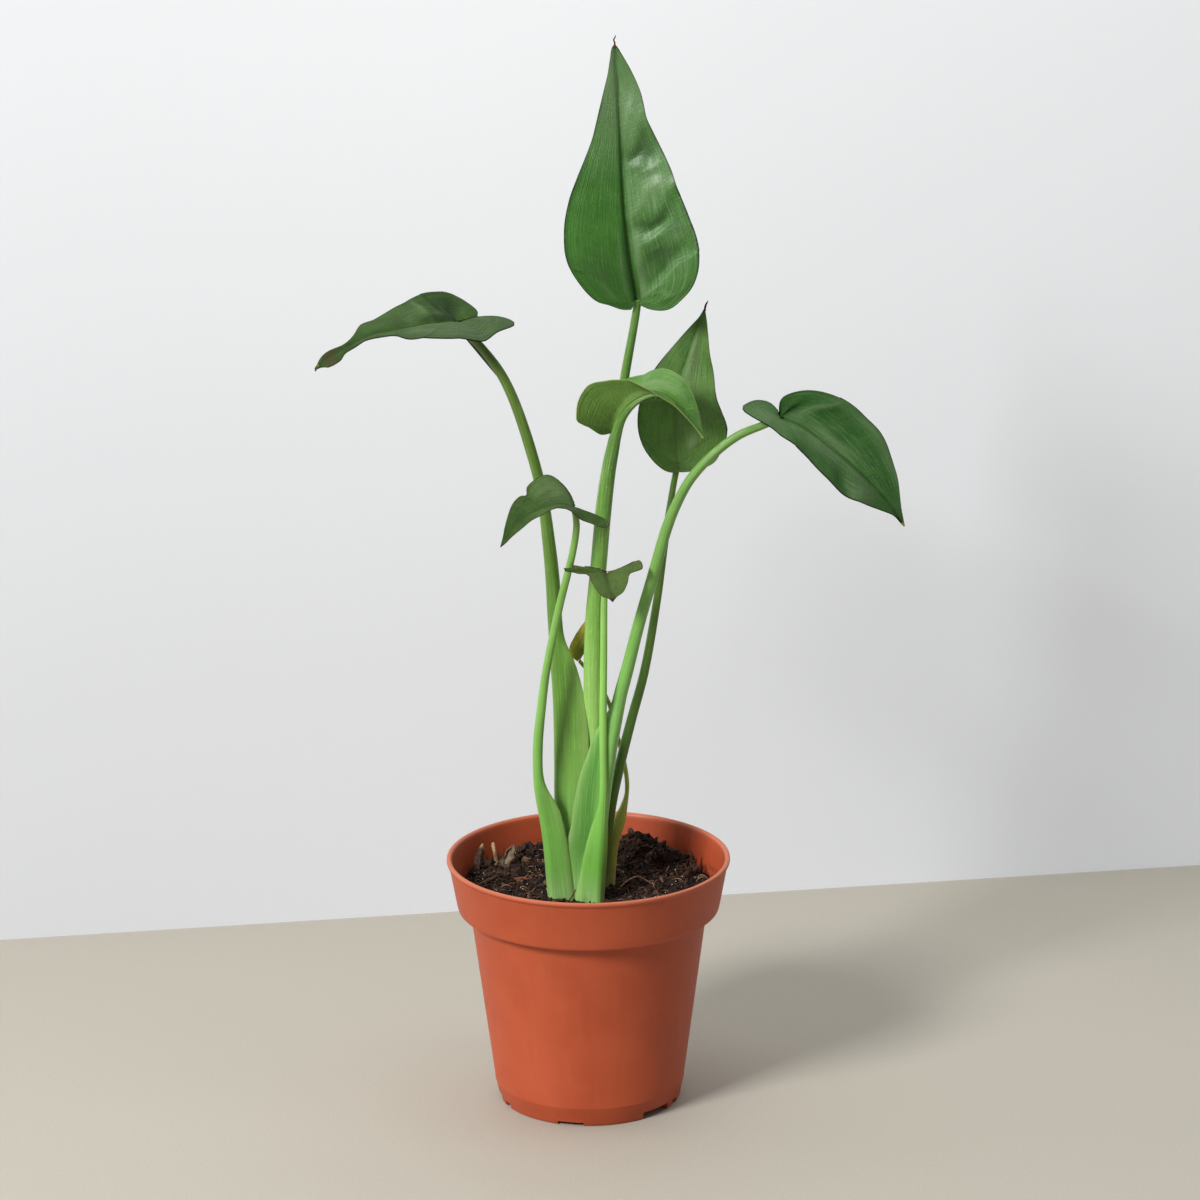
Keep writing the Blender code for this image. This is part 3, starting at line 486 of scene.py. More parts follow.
# %% Soil: peat finish
peat = Finish("peat_soil", roughness=0.9, specular=0.2)
crumbly = peat.grain(peat.place(700.0), detail=6.0, roughness=0.7)
damp = peat.between(peat.grain(peat.place(90.0), detail=3.0), 0.45, 0.7, 0.0, 0.6)
peat_colour = peat.coats((27, 19, 15), (peat.between(crumbly, 0.35, 0.7), (60, 43, 34)), (damp, (34, 25, 20)))
dress(bed, peat.finish(peat_colour, None, peat.relief(crumbly, 0.9)))
settle(bed, "soil")

# %% [markdown]
# Crumbs, chips and fibres are each modelled once, from a low sphere or a rolled grid, and scattered by
# the hundred: every copy gets its own size, turn and spot on the bed, and all copies of one kind end up
# in one mesh. Each copy also carries its own shade, so no two neighbours look alike.

# %% Soil: scattering one kind of bit
chance = np.random.RandomState(11)


def random_turns(count, flat=1.0):
    """Rotation matrices; flat below 1 keeps the bits lying down more."""
    turns = np.empty((count, 3, 3))
    for k in range(count):
        spin = Matrix.Rotation(chance.uniform(0, math.tau), 3, "Z")
        tip = Matrix.Rotation(chance.uniform(-1, 1) * math.pi * flat, 3, "X")
        turns[k] = Matrix.Rotation(chance.uniform(0, math.tau), 3, "Z") @ tip @ spin
    return turns


def scatter(name, bit, spots, sizes, turns, finish):
    """Copy one bit to every spot, as one mesh."""
    shape = get_points(bit)
    faces = [tuple(face.vertices) for face in bit.data.polygons]
    count, corners = len(spots), len(shape)
    points = np.einsum("kab,kpb->kpa", turns, shape[None] * sizes[:, None]) + spots[:, None]
    every_face = [tuple(v + k * corners for v in face) for k in range(count) for face in faces]
    mesh = bpy.data.meshes.new(name)
    mesh.from_pydata(to_scene(points.reshape(-1, 3)).tolist(), [], every_face)
    mesh.materials.append(finish)
    made = bpy.data.objects.new(name, mesh)
    bpy.context.scene.collection.objects.link(made)
    carry(made, "shade", np.repeat(chance.uniform(0, 1, count), corners))
    bpy.data.objects.remove(bit, do_unlink=True)
    settle(made, "soil", smooth=50)


def spots_on_bed(count, inner, outer, lift):
    """Random places on the bed between two radii; lift is added to its height."""
    radius = np.sqrt(chance.uniform(inner ** 2, outer ** 2, count))
    turn = chance.uniform(0, math.tau, count)
    x, y = radius * np.cos(turn), radius * np.sin(turn)
    return np.array([(a, b, soil_height(a, b) + lift) for a, b in zip(x, y)])


def strew(name, bit, count, size, stretch, spread, finish, squash=1.0, flat=1.0):
    """Scatter many copies of a bit. size and stretch are ranges; spread is (inner, outer, lift)."""
    sizes = chance.uniform(*size, (count, 1)) * (chance.uniform(*stretch, (count, 3)) if stretch else np.ones(3))
    scatter(name, bit, spots_on_bed(count, *spread), sizes * (1, 1, squash), random_turns(count, flat), finish)


def lump(name, subdivisions, rough, seed):
    """A crumb: a low ball, knocked out of round."""
    bpy.ops.mesh.primitive_ico_sphere_add(subdivisions=subdivisions, radius=1.0)
    ball = bpy.context.object
    ball.name = name
    shape = get_points(ball)
    set_points(ball, [p * (1 + rough * noise.noise(Vector(p) * 1.7 + Vector((seed, 0, 0)))) for p in shape])
    return ball


# %% Soil: crumbs, chips and fibres
crumb = Finish("soil_crumb", roughness=0.88, specular=0.25)
own_shade = crumb.read("shade")
fine = crumb.grain(crumb.place(1500.0), detail=5.0, roughness=0.7)
crumb_colour = crumb.coats((28, 19, 15), (crumb.between(own_shade, 0.1, 0.9), (66, 46, 36)),
                           (crumb.between(own_shade, 0.86, 0.97), (108, 80, 60)),
                           (crumb.between(fine, 0.45, 0.75, 0.0, 0.5), (22, 14, 11)))
crumb_skin = crumb.finish(crumb_colour, None, crumb.relief(fine, 0.35))

fibre = Finish("soil_fibre", roughness=0.8, specular=0.3)
own_shade = fibre.read("shade")
fibre_skin = fibre.finish(fibre.coats((42, 28, 21), (fibre.between(own_shade, 0.0, 0.6), (100, 66, 46)),
                                      (fibre.between(own_shade, 0.7, 1.0), (176, 138, 100))))

# pale specks: partly perlite, partly painted glints of light on the damp peat
glint = Finish("pale_speck_and_glint", roughness=0.6, specular=0.5)
glint_skin = glint.finish(glint.coats((178, 168, 150), (glint.read("shade"), (232, 226, 214))))


def strand(name, length, thick, sides=4, steps=5, bend=0.25):
    """A chopped fibre: a thin grid rolled into a tube, arched and thinned at both ends."""
    sheet, row, column = sheet_of_cells(name, steps, sides)
    share, turn = row / steps, -math.tau * column / sides
    radius = thick * (0.35 + 0.65 * np.sin(np.pi * np.clip(share, 0.04, 0.96)))
    lift = bend * length * (4 * share * (1 - share) - 0.6)
    set_points(sheet, np.stack([(share - 0.5) * length, radius * np.cos(turn), radius * np.sin(turn) + lift], 1))
    close_seams(sheet, gap=1e-4)
    return sheet


CLODS = [(19, 40), (23, 36), (26, 38), (31, 31), (35, 29), (39, 25), (28, 34), (-24, 37), (-28, 35), (-20, 39),
         (44, 14), (12, 42), (-43, 18), (33, 22), (22, 31)]
strew("soil_crumbs", lump("crumb", 1, 0.5, 2.0), 5200, (0.35, 0.95), (0.6, 1.25), (6, 53.2, 0.15), crumb_skin)
strew("soil_lumps", lump("lump", 2, 0.9, 5.0), 620, (0.9, 2.1), (0.5, 1.2), (17, 51.5, 0.3), crumb_skin, 0.7)
spots = np.array([(x, y, soil_height(x, y) + 0.6) for x, y in CLODS])
sizes = chance.uniform(2.2, 3.6, (len(spots), 1)) * chance.uniform(0.6, 1.15, (len(spots), 3))
scatter("soil_clods", lump("clod", 3, 1.3, 3.0), spots, sizes, random_turns(len(spots)), crumb_skin)
strew("soil_pale_specks", lump("speck", 1, 0.3, 9.0), 320, (0.10, 0.30), (0.7, 1.2), (15, 52, 0.9), glint_skin)
strew("soil_fibres", strand("fibre", 4.5, 0.13), 620, (0.5, 1.5), None, (14, 52.5, 0.8), fibre_skin, flat=0.16)
strew("soil_bark_chips", strand("chip", 4.2, 0.85, 6, 4, 0.05), 150, (0.6, 1.3), None, (20, 50, 0.7), crumb_skin,
      0.45, 0.2)

# %% [markdown]
# ## Curves
# Stalks, midribs and leaf margins are all smooth lines through a few chosen points. A Catmull-Rom curve passes through
# every point and never overshoots where the points are uneven, so it suits values that are given one by one.

# %% Smooth lines


LINE_STEPS = 12             # dense rows between two chosen points


def blend(t, t_a, a, t_b, b):
    return ((t_b - t) * a + (t - t_a) * b) / (t_b - t_a)


def smooth_line(points, steps=LINE_STEPS):
    """Dense rows on a Catmull-Rom curve through rows of numbers of any length."""
    rows = np.asarray(points, float)
    rows = np.vstack([2 * rows[0] - rows[1], rows, 2 * rows[-1] - rows[-2]])
    gaps = np.maximum(np.linalg.norm(np.diff(rows[:, :3], axis=0), axis=1), 1e-6) ** 0.5
    knots = np.concatenate([[0], np.cumsum(gaps)])
    dense = []
    for i in range(1, len(rows) - 2):
        t0, t1, t2, t3 = knots[i - 1:i + 3]
        t = (t1 + (t2 - t1) * np.arange(steps) / steps)[:, None]
        before, here, after = [blend(t, knots[k], rows[k], knots[k + 1], rows[k + 1]) for k in (i - 1, i, i + 1)]
        dense.append(blend(t, t1, blend(t, t0, before, t2, here), t2, blend(t, t1, here, t3, after)))
    return np.vstack(dense + [rows[-2:-1]])


def distance_along(rows):
    return np.concatenate([[0], np.cumsum(np.linalg.norm(np.diff(rows[:, :3], axis=0), axis=1))])


def look_up(at, places, rows):
    """Rows of a table at the given places, by straight interpolation."""
    rows = np.asarray(rows, float)
    return np.stack([np.interp(at, places, rows[:, k]) for k in range(rows.shape[1])], -1)


def unit(vectors):
    return vectors / np.maximum(np.linalg.norm(vectors, axis=-1, keepdims=True), 1e-12)


def bump_at(value, centre, spread):
    return np.exp(-((value - centre) / spread) ** 2)


def rings_along(points, steps, count, reach, outward):
    """Even rings on a smooth line: the run to each, its row, and the ways along, sideways and outwards."""
    line = smooth_line(points, steps)
    run = distance_along(line)
    place = run[-1] * np.arange(count + 1) / count
    along = unit(look_up(place + reach, run, line)[:, :3] - look_up(place - reach, run, line)[:, :3])
    side = unit(np.cross(along, outward))
    return place, look_up(place, run, line), along, side, np.cross(side, along)


# %% [markdown]
# ## Blades
# An alocasia blade is an arrowhead with a sunken midrib. Its side veins leave the midrib at a slant and
# end in a vein that runs just inside the margin, and the skin swells a little between them. Each half
# is folded up from the midrib by its own angle. The blade is drawn out of a flat grid: every row of
# cells becomes one ray from the midrib to the margin, along the side veins, so creases and colours can
# follow the veins. The first rays fan out from the joint and fill the lobe behind it.

# %% Blades: the midrib
VEIN_LEAN = 0.45            # side veins run this far forward for each millimetre outwards
FAN_RAYS, RAYS, HALF_CELLS = 26, 160, 26
FAN_SHARE = 0.06            # the fan of rays ends this far up the blade
SIDES = {-1: "left", 1: "right"}


class Midrib:
    """A blade's middle line; s runs along it from the joint and w outwards from it, in millimetres."""

    def __init__(self, leaf):
        self.leaf = leaf
        self.line = smooth_line(leaf["spine"])
        run = distance_along(self.line)
        self.run = run - run[leaf["join"] * LINE_STEPS]
        self.length = self.run[-1]
        self.ups = leaf["up"] if len(leaf["up"]) > 1 else leaf["up"] * len(leaf["spine"])

    def at(self, s, w, sign, lift):
        """Points w out from the midrib, raised by lift from the folded and curled half."""
        centre = look_up(s, self.run, self.line)
        along = unit(look_up(s + 1.0, self.run, self.line) - look_up(s - 1.0, self.run, self.line))
        side = unit(np.cross(along, look_up(s, self.run[::LINE_STEPS], self.ups)))
        places, rises = np.array(self.leaf["rise_" + SIDES[sign]], float).T
        rise = np.radians(np.interp(s, places, rises))
        curl = math.radians(self.leaf["curl_" + SIDES[sign]]) or 1e-6
        turned = rise + curl * w
        out = (np.sin(turned) - np.sin(rise)) / curl - lift * np.sin(turned)
        up = (np.cos(rise) - np.cos(turned)) / curl + lift * np.cos(turned)
        return centre + side * (sign * out)[..., None] + np.cross(side, along) * up[..., None]


def vein_rays(margin, length, lobe):
    """Rays as (number along the blade, start on the midrib, margin s, margin w)."""
    edge = smooth_line(list(margin) + [(length, 0)])
    roots = np.maximum(edge[:, 0] - VEIN_LEAN * edge[:, 1], 0.0) + 1e-4 * np.arange(len(edge))
    roots = np.maximum.accumulate(roots)
    first = int((roots < FAN_SHARE * length).sum())
    walk = distance_along(edge[:first + 1])
    at_edge = look_up(np.linspace(0, walk[-1], FAN_RAYS + 1)[:-1], walk, edge[:first + 1])
    fan = np.column_stack([np.linspace(-lobe, 0, FAN_RAYS + 1)[:-1], np.zeros(FAN_RAYS), at_edge])
    starts = length * np.arange(RAYS) / RAYS
    rest = look_up(np.maximum(starts, roots[first]), roots, edge)
    rays = np.vstack([fan, np.column_stack([starts, starts, rest])])
    return np.vstack([rays, [length, length, length, 0]])


# %% Blades: creases, swellings and waves
VEIN_WIDE = 0.6
RIM_VEIN_AT, RIM_VEIN_DEEP, RIM_VEIN_WIDE = 0.9, 0.12, 0.025
RUFFLE_START = {-1: 0.2, 1: 1.3}


def add_spots(value, leaf, kind, number, share, sign):
    """Add soft spots, each (side, number, share, spread of number, spread of share, strength).

    Side 0 is both halves. The spots lie beside the veins and wander off them a little.
    """
    wander = np.sin(share * 4.3 + number * 0.21) + 0.6 * np.sin(share * 9.1 - number * 0.33)
    strayed = number + leaf["stray"] * wander
    for side, centre, out, spread, out_spread, strength in leaf[kind]:
        if side in (sign, 0):
            value = value + strength * bump_at(strayed, centre, spread) * bump_at(share, out, out_spread)
    return value


def crease(leaf, number, share, reach, sign):
    """How far the skin is raised (+) or sunk (-) at each point, in millimetres, and how veined it is."""
    w = share * reach
    deep, deep_at_tip, wide = leaf["valley"]
    at_tip = np.clip(number / leaf["length"], 0, 1)
    lift = -(deep + (deep_at_tip - deep) * at_tip) * np.exp(-(w / wide) ** 2)
    veins = np.array(leaf["veins_" + SIDES[sign]], float)
    nearest = np.abs(number[..., None] - veins).min(-1)
    shown = np.clip(share / 0.15, 0, 1) * np.clip((1.02 - share) / 0.2, 0, 1)
    vein = np.exp(-(nearest / VEIN_WIDE) ** 2) * shown
    lift = lift - leaf["groove"] * vein
    between = np.interp(number, veins, np.arange(len(veins)))
    fade = np.sin(np.pi * np.clip(share, 0, 1)) ** 0.8 * np.clip(reach / 12, 0, 1)
    lift = lift + leaf["quilt"] * np.sin(np.pi * between) ** 2 * fade
    lift = add_spots(lift, leaf, "waves", number, share, sign)
    period, high = leaf["ruffle"]
    lift = lift + high * np.sin(math.tau * number / period + RUFFLE_START[sign]) * share ** 3
    rim_vein = RIM_VEIN_DEEP * bump_at(share, RIM_VEIN_AT, RIM_VEIN_WIDE) * np.clip(reach / 10, 0, 1)
    return lift - rim_vein, vein


# %% [markdown]
# A blade's upper skin is deep green, a little lighter between the veins, with a fine net of veins and a waxy gloss that
# breaks up over tiny wrinkles. The underside is paler, olive and dull. The margin is a thin line, dark on most blades,
# pale on the young one and brown on the oldest. Light and shade are also painted into the colour: bright and dark lines
# along the wrinkles, silvery streaks of painted sheen, pale patches that are mostly painted sheen, and dark patches of
# painted shade. One recipe makes them all from a few colours.

# %% Blades: skins
DULL = 0.55                 # roughness of undersides and margins


def shaded(colour, by, plus=0.0):
    return [min(255, c * by + plus) for c in colour]


def blade_skins(name, deep, light, under, edge, gloss=0.36, waxy=0.15, shiny=0.5, veined=0.1, lined=1.0,
                tip=(92, 62, 30)):
    """Upper skin, underside and margin for one blade."""
    made = []
    light_under = shaded(under, 1.12)
    for face, base, lighter, specular in (("upper", deep, light, shiny), ("under", under, light_under, 0.25),
                                          ("edge", under, light_under, 0.02)):
        upper = face == "upper"
        skin = Finish("%s_%s" % (name, face), roughness=gloss if upper else DULL, specular=specular,
                      coat=waxy if upper else 0.0, coat_roughness=0.26, thin_glow=0.05)
        number, across, out, painted_sheen = [skin.read(key) for key in ("number", "across", "edge", "painted_sheen")]
        in_plan = skin.join(number, across)
        streak = skin.grain(skin.join(skin.times(number, 1.3), skin.times(across, 0.14)), 1.0, 5.0, 0.6)
        line = skin.grain(skin.join(skin.times(number, 0.07), skin.times(out, 26.0)), 1.0, 4.0, 0.6)
        mottle, fleck = skin.grain(in_plan, 0.10, 3.0), skin.grain(in_plan, 1.6, 3.0)
        cells = skin.add("TexVoronoi", "Distance", [("feature", "DISTANCE_TO_EDGE")], Vector=in_plan, Scale=0.8)
        netting = skin.between(cells, 0.0, 0.14, 1.0, 0.0)
        worn = skin.grain(skin.join(skin.times(number, 0.35), 0.0), 1.0, 2.0)
        at_rim = skin.times(skin.between(out, 0.965, 0.99), skin.between(worn, 0.3, 0.6, 0.4, 1.0))
        off_rim_vein = skin.math("ABSOLUTE", skin.math("SUBTRACT", out, 0.88))
        patchy = skin.times(skin.math("SUBTRACT", mottle, 0.5), 0.5)
        brighter, darker = shaded(lighter, 1.2, 5), shaded(base, 0.76)
        colour = skin.coats(
            base,
            (skin.between(mottle, 0.3, 0.7), lighter),
            (skin.between(streak, 0.5, 0.8, 0.0, 0.32), brighter),
            (skin.between(streak, 0.46, 0.24, 0.0, 0.4), darker),
            # painted highlight and painted shade: bright and dark lines along the wrinkles, which the relief below also
            # bumps
            (skin.between(line, 0.52, 0.74, 0.0, 0.4 * lined), brighter),
            (skin.between(line, 0.46, 0.28, 0.0, 0.45 * lined), darker),
            # painted sheen: silvery streaks over the wrinkle lines, on the spots that the blade tables list for it; the
            # same spots are also made glossier
            (skin.times(painted_sheen, skin.between(line, 0.46, 0.64, 0.0, 0.6 if upper else 0.1)), shaded(lighter, 0.55, 92)),
            (skin.between(fleck, 0.55, 0.8, 0.0, 0.2), brighter),
            (skin.times(netting, 0.10), brighter),
            (skin.times(skin.read("vein"), veined), brighter),
            # pale patches: mostly painted sheen and painted highlight on the bends that face the light; a few narrow
            # ones are pale veins, and on the young blade one follows its pale margin
            (skin.times(skin.read("pale"), 0.8), shaded(lighter, 0.6, 62)),
            # dark patches: painted shade, in hollows, along the midrib's valley and over the shaded part of a blade
            (skin.times(skin.read("dark"), 0.8), (base[0] * 0.55, base[1] * 0.66, base[2] * 0.4)),
            (skin.times(skin.read("rib"), 0.35), darker if upper else brighter),
            (skin.between(off_rim_vein, 0.004, 0.014, 0.25 if upper else 0.1, 0.0), brighter),
            (1.0 if face == "edge" else at_rim, edge),
            (skin.between(skin.math("ADD", skin.read("dry"), patchy), 0.35, 0.75), tip))
        rough = DULL
        if upper:
            rough = skin.between(skin.grain(in_plan, 0.25, 4.0), 0.3, 0.7, gloss - 0.04, gloss + 0.08)
            rough = skin.math("SUBTRACT", rough, skin.times(painted_sheen, 0.08))
        bumps = skin.relief(netting, -0.03)
        for height, deep_mm in ((fleck, 0.04), (line, 0.7 * lined), (streak, 0.25)):
            bumps = skin.relief(height, deep_mm, Normal=bumps)
        made.append(skin.finish(colour, rough, bumps))
    return made


# %% [markdown]
# `grow_blade` fills the grid's points half by half, carries what the skin reads, and gives the sheet
# its thickness with a Solidify modifier. A vertex group makes it stout along the midrib and thin
# towards the margin. What most blades have in common is listed once, in `USUAL`.

# %% Blades: drawing one out of its grid
FINER = 1.35                # cells are finer beside the midrib
THIN_SHARE = 0.26           # the margin's thickness, as a share of the midrib's
TIP_TAPER = 6               # the relief fades over this length before the tip
STOUT_WIDE = 1.6
USUAL = dict(join=1, up=[(0, -1, 0.1)], curl_left=0.0, curl_right=0.0, groove=0.05, quilt=0.08, stray=0.7,
             rib_wide=0.9, rib_thick=1.7, waves=(), pale=(), dark=(), brown=(), painted_sheen=())
CARRIED = ("number", "across", "vein", "edge", "dry", "pale", "dark", "painted_sheen", "rib")


def grow_blade(kind, leaf, *colours, slot="leaf_green", **feel):
    name = kind + "_blade"
    skins = blade_skins(name, *colours, **feel)
    leaf = {**USUAL, **leaf}
    midrib = Midrib(leaf)
    leaf["length"] = midrib.length
    sheet, row, column = sheet_of_cells(name, FAN_RAYS + RAYS, 2 * HALF_CELLS)
    share = (column - HALF_CELLS) / HALF_CELLS            # the grid's +Y side is the blade's left
    share = np.sign(share) * np.abs(share) ** FINER
    points = np.zeros((len(row), 3))
    carried = {key: np.zeros(len(row)) for key in CARRIED}
    for sign, side in SIDES.items():
        rays = vein_rays(leaf[side], midrib.length, leaf["lobe"])
        here = share >= 0 if sign < 0 else share <= 0
        number, start, edge_s, edge_w = rays[row[here]].T
        out = np.abs(share[here])
        s, w = start + (edge_s - start) * out, edge_w * out
        reach = np.hypot(edge_s - start, edge_w)
        lift, vein = crease(leaf, number, out, reach, sign)
        taper = np.clip((midrib.length - number) / TIP_TAPER, 0, 1)
        points[here] = midrib.at(s, w, sign, lift * taper)
        # The pale spots are mostly painted sheen, the dark ones painted shade and the sheen ones painted silvery
        # streaks; the brown ones are real browning.
        spots = {patch: np.clip(add_spots(np.zeros(number.shape), leaf, patch, number, out, sign), 0, 1)
                 for patch in ("brown", "pale", "dark", "painted_sheen")}
        dry = np.clip(1.3 - (midrib.length - s) / leaf["brown_tip"], 0, 1) + spots.pop("brown")
        rib = np.exp(-(out * reach / leaf["rib_wide"]) ** 2) * np.clip(reach / 3, 0, 1)
        for key, values in dict(spots, number=number, across=sign * out * reach, vein=vein, edge=out, dry=dry,
                                rib=rib).items():
            carried[key][here] = values
    set_points(sheet, to_scene(points))
    for key, values in carried.items():
        carry(sheet, key, values)
    stout = sheet.vertex_groups.new(name="stout")
    to_tip = np.clip(carried["number"] / midrib.length, 0, 1)
    thick = np.exp(-(carried["across"] / STOUT_WIDE) ** 2) * (1 - 0.8 * to_tip)
    for k in np.flatnonzero(thick > 0.02):
        stout.add([int(k)], float(thick[k]), "REPLACE")
    dress(sheet, *skins)
    close_seams(sheet, solid=False)
    solid = sheet.modifiers.new("thickness", "SOLIDIFY")
    solid.thickness, solid.offset = leaf["rib_thick"] * MM, -1.0
    solid.vertex_group, solid.thickness_vertex_group = "stout", THIN_SHARE
    solid.material_offset, solid.material_offset_rim = 1, 2
    solid.use_even_offset = False
    apply_modifiers(sheet)
    settle(sheet, "leaf_" + kind, smooth=70)


print("rays in a blade:", FAN_RAYS + RAYS)

# %% [markdown]
# ### The top blade
# The tallest leaf stands upright and faces the front. Its midrib is a deep valley with painted shade along it, its left
# half lies smooth, and its right half is wavy, so that the light breaks into glossy bands across it; patches of painted
# sheen and painted shade strengthen the bands.

# %% The top blade
TOP = dict(
    spine=[(21.3, 8.2, 339.5), (21.5, 7.2, 345), (19.3, 6, 360.5), (17.3, 6.2, 377), (16, 7.5, 394), (15, 9.5, 414.5),
        (14, 11, 431), (12.4, 12.5, 448.4)],
    left=[(-4.6, 2.5), (-4.6, 6), (-2.8, 11), (1.7, 16.6), (6.6, 20.2), (12.2, 23.3), (18, 26), (23.5, 27),
        (30, 26.6), (37, 25.2), (44, 22.8), (51.6, 19.3), (58.5, 15.8), (66.3, 12.3), (73.5, 10), (80.7, 7.8),
        (89.3, 5), (93.5, 3.6), (98.6, 2.3), (103, 0.9)],
    right=[(-2.6, 1.2), (-3.4, 5), (-2.8, 11.5), (-0.4, 17.5), (4, 24), (10, 27.6), (18, 29), (26, 28.2), (34.5, 26),
        (43, 23.4), (52, 20.7), (58, 18.3), (64.3, 15.2), (74, 11.2), (79, 10.2), (84.6, 9), (90.3, 7), (97.8, 3.8),
        (103, 1)], rise_left=[(-6, 12), (0, 15), (40, 15), (106, 8)], curl_left=-0.3,
    rise_right=[(-6, 21), (0, 24), (40, 22), (106, 15)], curl_right=-0.4, valley=(1.3, 0.6, 1.3), groove=0.04,
    quilt=0.04, lobe=16, brown_tip=1.6, stray=2.0, ruffle=(34, 0.4), veins_left=[-9, 1, 13, 26, 39, 52, 65, 78, 90],
    veins_right=[-8, 3, 12, 25, 38, 50, 63, 76, 89],
    waves=[(1, 88, 0.5, 8, 0.5, -0.6), (1, 70, 0.35, 7, 0.5, 1.0), (1, 58.5, 0.55, 4.6, 0.45, -1.2),
        (1, 49, 0.62, 4.5, 0.5, 0.5), (1, 37, 0.7, 6.0, 0.5, 1.6), (1, 26.5, 0.5, 3.4, 0.35, -1.0),
        (1, 19, 0.35, 3.4, 0.25, 0.8), (1, 6.5, 0.42, 4.6, 0.32, -1.7), (1, -3, 0.75, 4.0, 0.4, 1.0),
        (1, 12.5, 0.42, 1.5, 0.07, 0.5), (1, 22, 0.85, 6, 0.2, 0.6), (1, 33, 0.22, 2.2, 0.2, -0.4),
        (1, 30, 0.2, 3, 0.15, -0.4), (-1, 18, 0.5, 9, 0.4, 0.5), (-1, 36, 0.6, 9, 0.4, -0.4),
        (-1, 2, 0.7, 6, 0.3, -0.7), (-1, 34, 0.96, 6, 0.1, -0.5)],
    pale=[(0, 94, 0.5, 32, 1.0, 0.75), (1, 34, 0.07, 50, 0.05, 1.0), (1, 76, 0.45, 12, 0.5, 0.8),
        (1, 44, 0.62, 6, 0.45, 0.8), (1, 20, 0.8, 6, 0.3, 0.5), (1, 22, 0.2, 4, 0.22, 0.5), (1, 39, 0.5, 4, 0.4, 0.3),
        (1, -4, 0.5, 0.8, 0.45, 0.8), (1, 1, 0.45, 0.8, 0.4, 0.8), (1, 2, 0.7, 4, 0.4, 0.3),
        (1, 37, 0.55, 3, 0.5, 0.6), (-1, 78, 0.5, 20, 0.7, 0.5), (-1, 12, 0.17, 14, 0.03, 0.8),
        (1, 14, 0.12, 14, 0.05, 0.8), (-1, 0, 0.5, 6, 0.05, 0.5)],
    dark=[(-1, 6, 0.45, 7, 0.3, 0.6), (-1, 40, 0.05, 44, 0.05, 0.9), (-1, 14, 0.08, 18, 0.07, 0.7),
        (1, 59, 0.5, 4.4, 0.5, 0.95), (1, 50, 0.3, 3, 0.25, 0.5), (1, 11, 0.45, 5, 0.4, 0.9),
        (1, 29, 0.42, 3.2, 0.35, 0.95), (1, 22, 0.75, 3, 0.2, 0.5), (0, 1, 0, 4, 0.06, 0.8)],
    painted_sheen=[(1, 30, 0.5, 60, 0.6, 0.9), (-1, 90, 0.5, 24, 1, 0.5), (-1, 10, 0.6, 14, 0.3, 0.25)], rib_wide=0.5)
grow_blade("top", TOP, (44, 98, 20), (58, 112, 32), (98, 134, 60), (20, 30, 12), gloss=0.40, waxy=0.12, veined=0.10,
           lined=0.6)

# %% [markdown]
# ### The left blade
# It lies level and points away to the left, seen almost edge on. Its far half is raised round a hollow darkened with
# painted shade, its near half is greyer with painted sheen, and its narrow tip is an olive ribbon that twists and ends
# in a small brown hook.

# %% The left blade
LEFT = dict(
    spine=[(-29, 7, 336), (-41.4, 6.2, 337.4), (-52.4, 5, 337), (-63.4, 4, 336.3), (-75.7, 3, 334.5),
        (-83.8, 2, 333.3), (-91, 1, 331.2), (-97.7, 0, 327.7), (-104.3, -1, 323.8), (-108.3, -2, 321.5),
        (-110.6, -3, 318)], join=2, up=[(0, -0.14, 1)] * 7 + [(0, -0.27, 1)] * 4,
    left=[(-4, -0.3), (-10, -3.5), (-17, -4.5), (-22, -2), (-24, 1.5), (-17, 11), (-9.5, 21.5), (4.5, 23),
        (20.5, 17.5), (31, 6.5), (41.5, 5), (48, 3.5), (52, 6), (58.5, 5.5), (62, 1)],
    right=[(-3, 0.7), (-8, 2.4), (-9, 6), (-5.5, 12.5), (1, 19), (9.5, 20), (18, 18), (26, 14.5), (33.5, 12.5),
        (38, 11), (42, 5.5), (48, 2.5), (56, 3.5), (61, 1)],
    rise_left=[(-24, -8), (-9, -3), (0, 5), (25, 6), (60, -10)], curl_left=-0.15,
    rise_right=[(-24, 8), (-9, 9), (-4, 15), (4, 19), (15, 18), (25, 12), (33, 5), (60, 0)], curl_right=0.1,
    valley=(1.5, 0.4, 2.0), groove=0.06, quilt=0.2, lobe=26, brown_tip=2.5, ruffle=(17, 0.35),
    veins_left=[-20, -11, -3, 6, 16, 27, 38, 50], veins_right=[-20, -10, -1, 9, 19, 29, 40, 50],
    waves=[(1, -5, 0.45, 7, 0.34, -2.2), (1, 9, 0.45, 2.2, 0.45, 1.5), (1, 17, 0.35, 3, 0.3, -0.8),
        (1, -2, 0.42, 1.6, 0.3, 0.5), (-1, 2, 0.3, 16, 0.2, 0.9)],
    pale=[(1, 17, 0.7, 7, 0.4, 0.2), (-1, 2, 0.5, 24, 0.5, 0.35), (1, 9.5, 0.5, 1.0, 0.4, 0.6),
        (1, -2, 0.4, 0.9, 0.25, 0.4)],
    dark=[(1, -6, 0.5, 7, 0.5, 1.0), (1, 2, 0.6, 5, 0.4, 0.5), (1, 4, 0.15, 12, 0.12, 0.9),
        (-1, -6, 0.08, 5, 0.08, 0.7), (-1, 12, 0.9, 14, 0.16, 0.6)],
    brown=[(0, 54, 0.5, 8, 1.0, 0.6), (0, 36, 1.0, 12, 0.12, 0.4)],
    painted_sheen=[(-1, 6, 0.5, 30, 1, 0.45), (1, 14, 0.4, 10, 0.4, 0.5)])
grow_blade("left", LEFT, (38, 68, 14), (54, 86, 26), (76, 104, 40), (26, 28, 14), gloss=0.56, waxy=0.0, shiny=0.22,
           tip=(70, 48, 28))
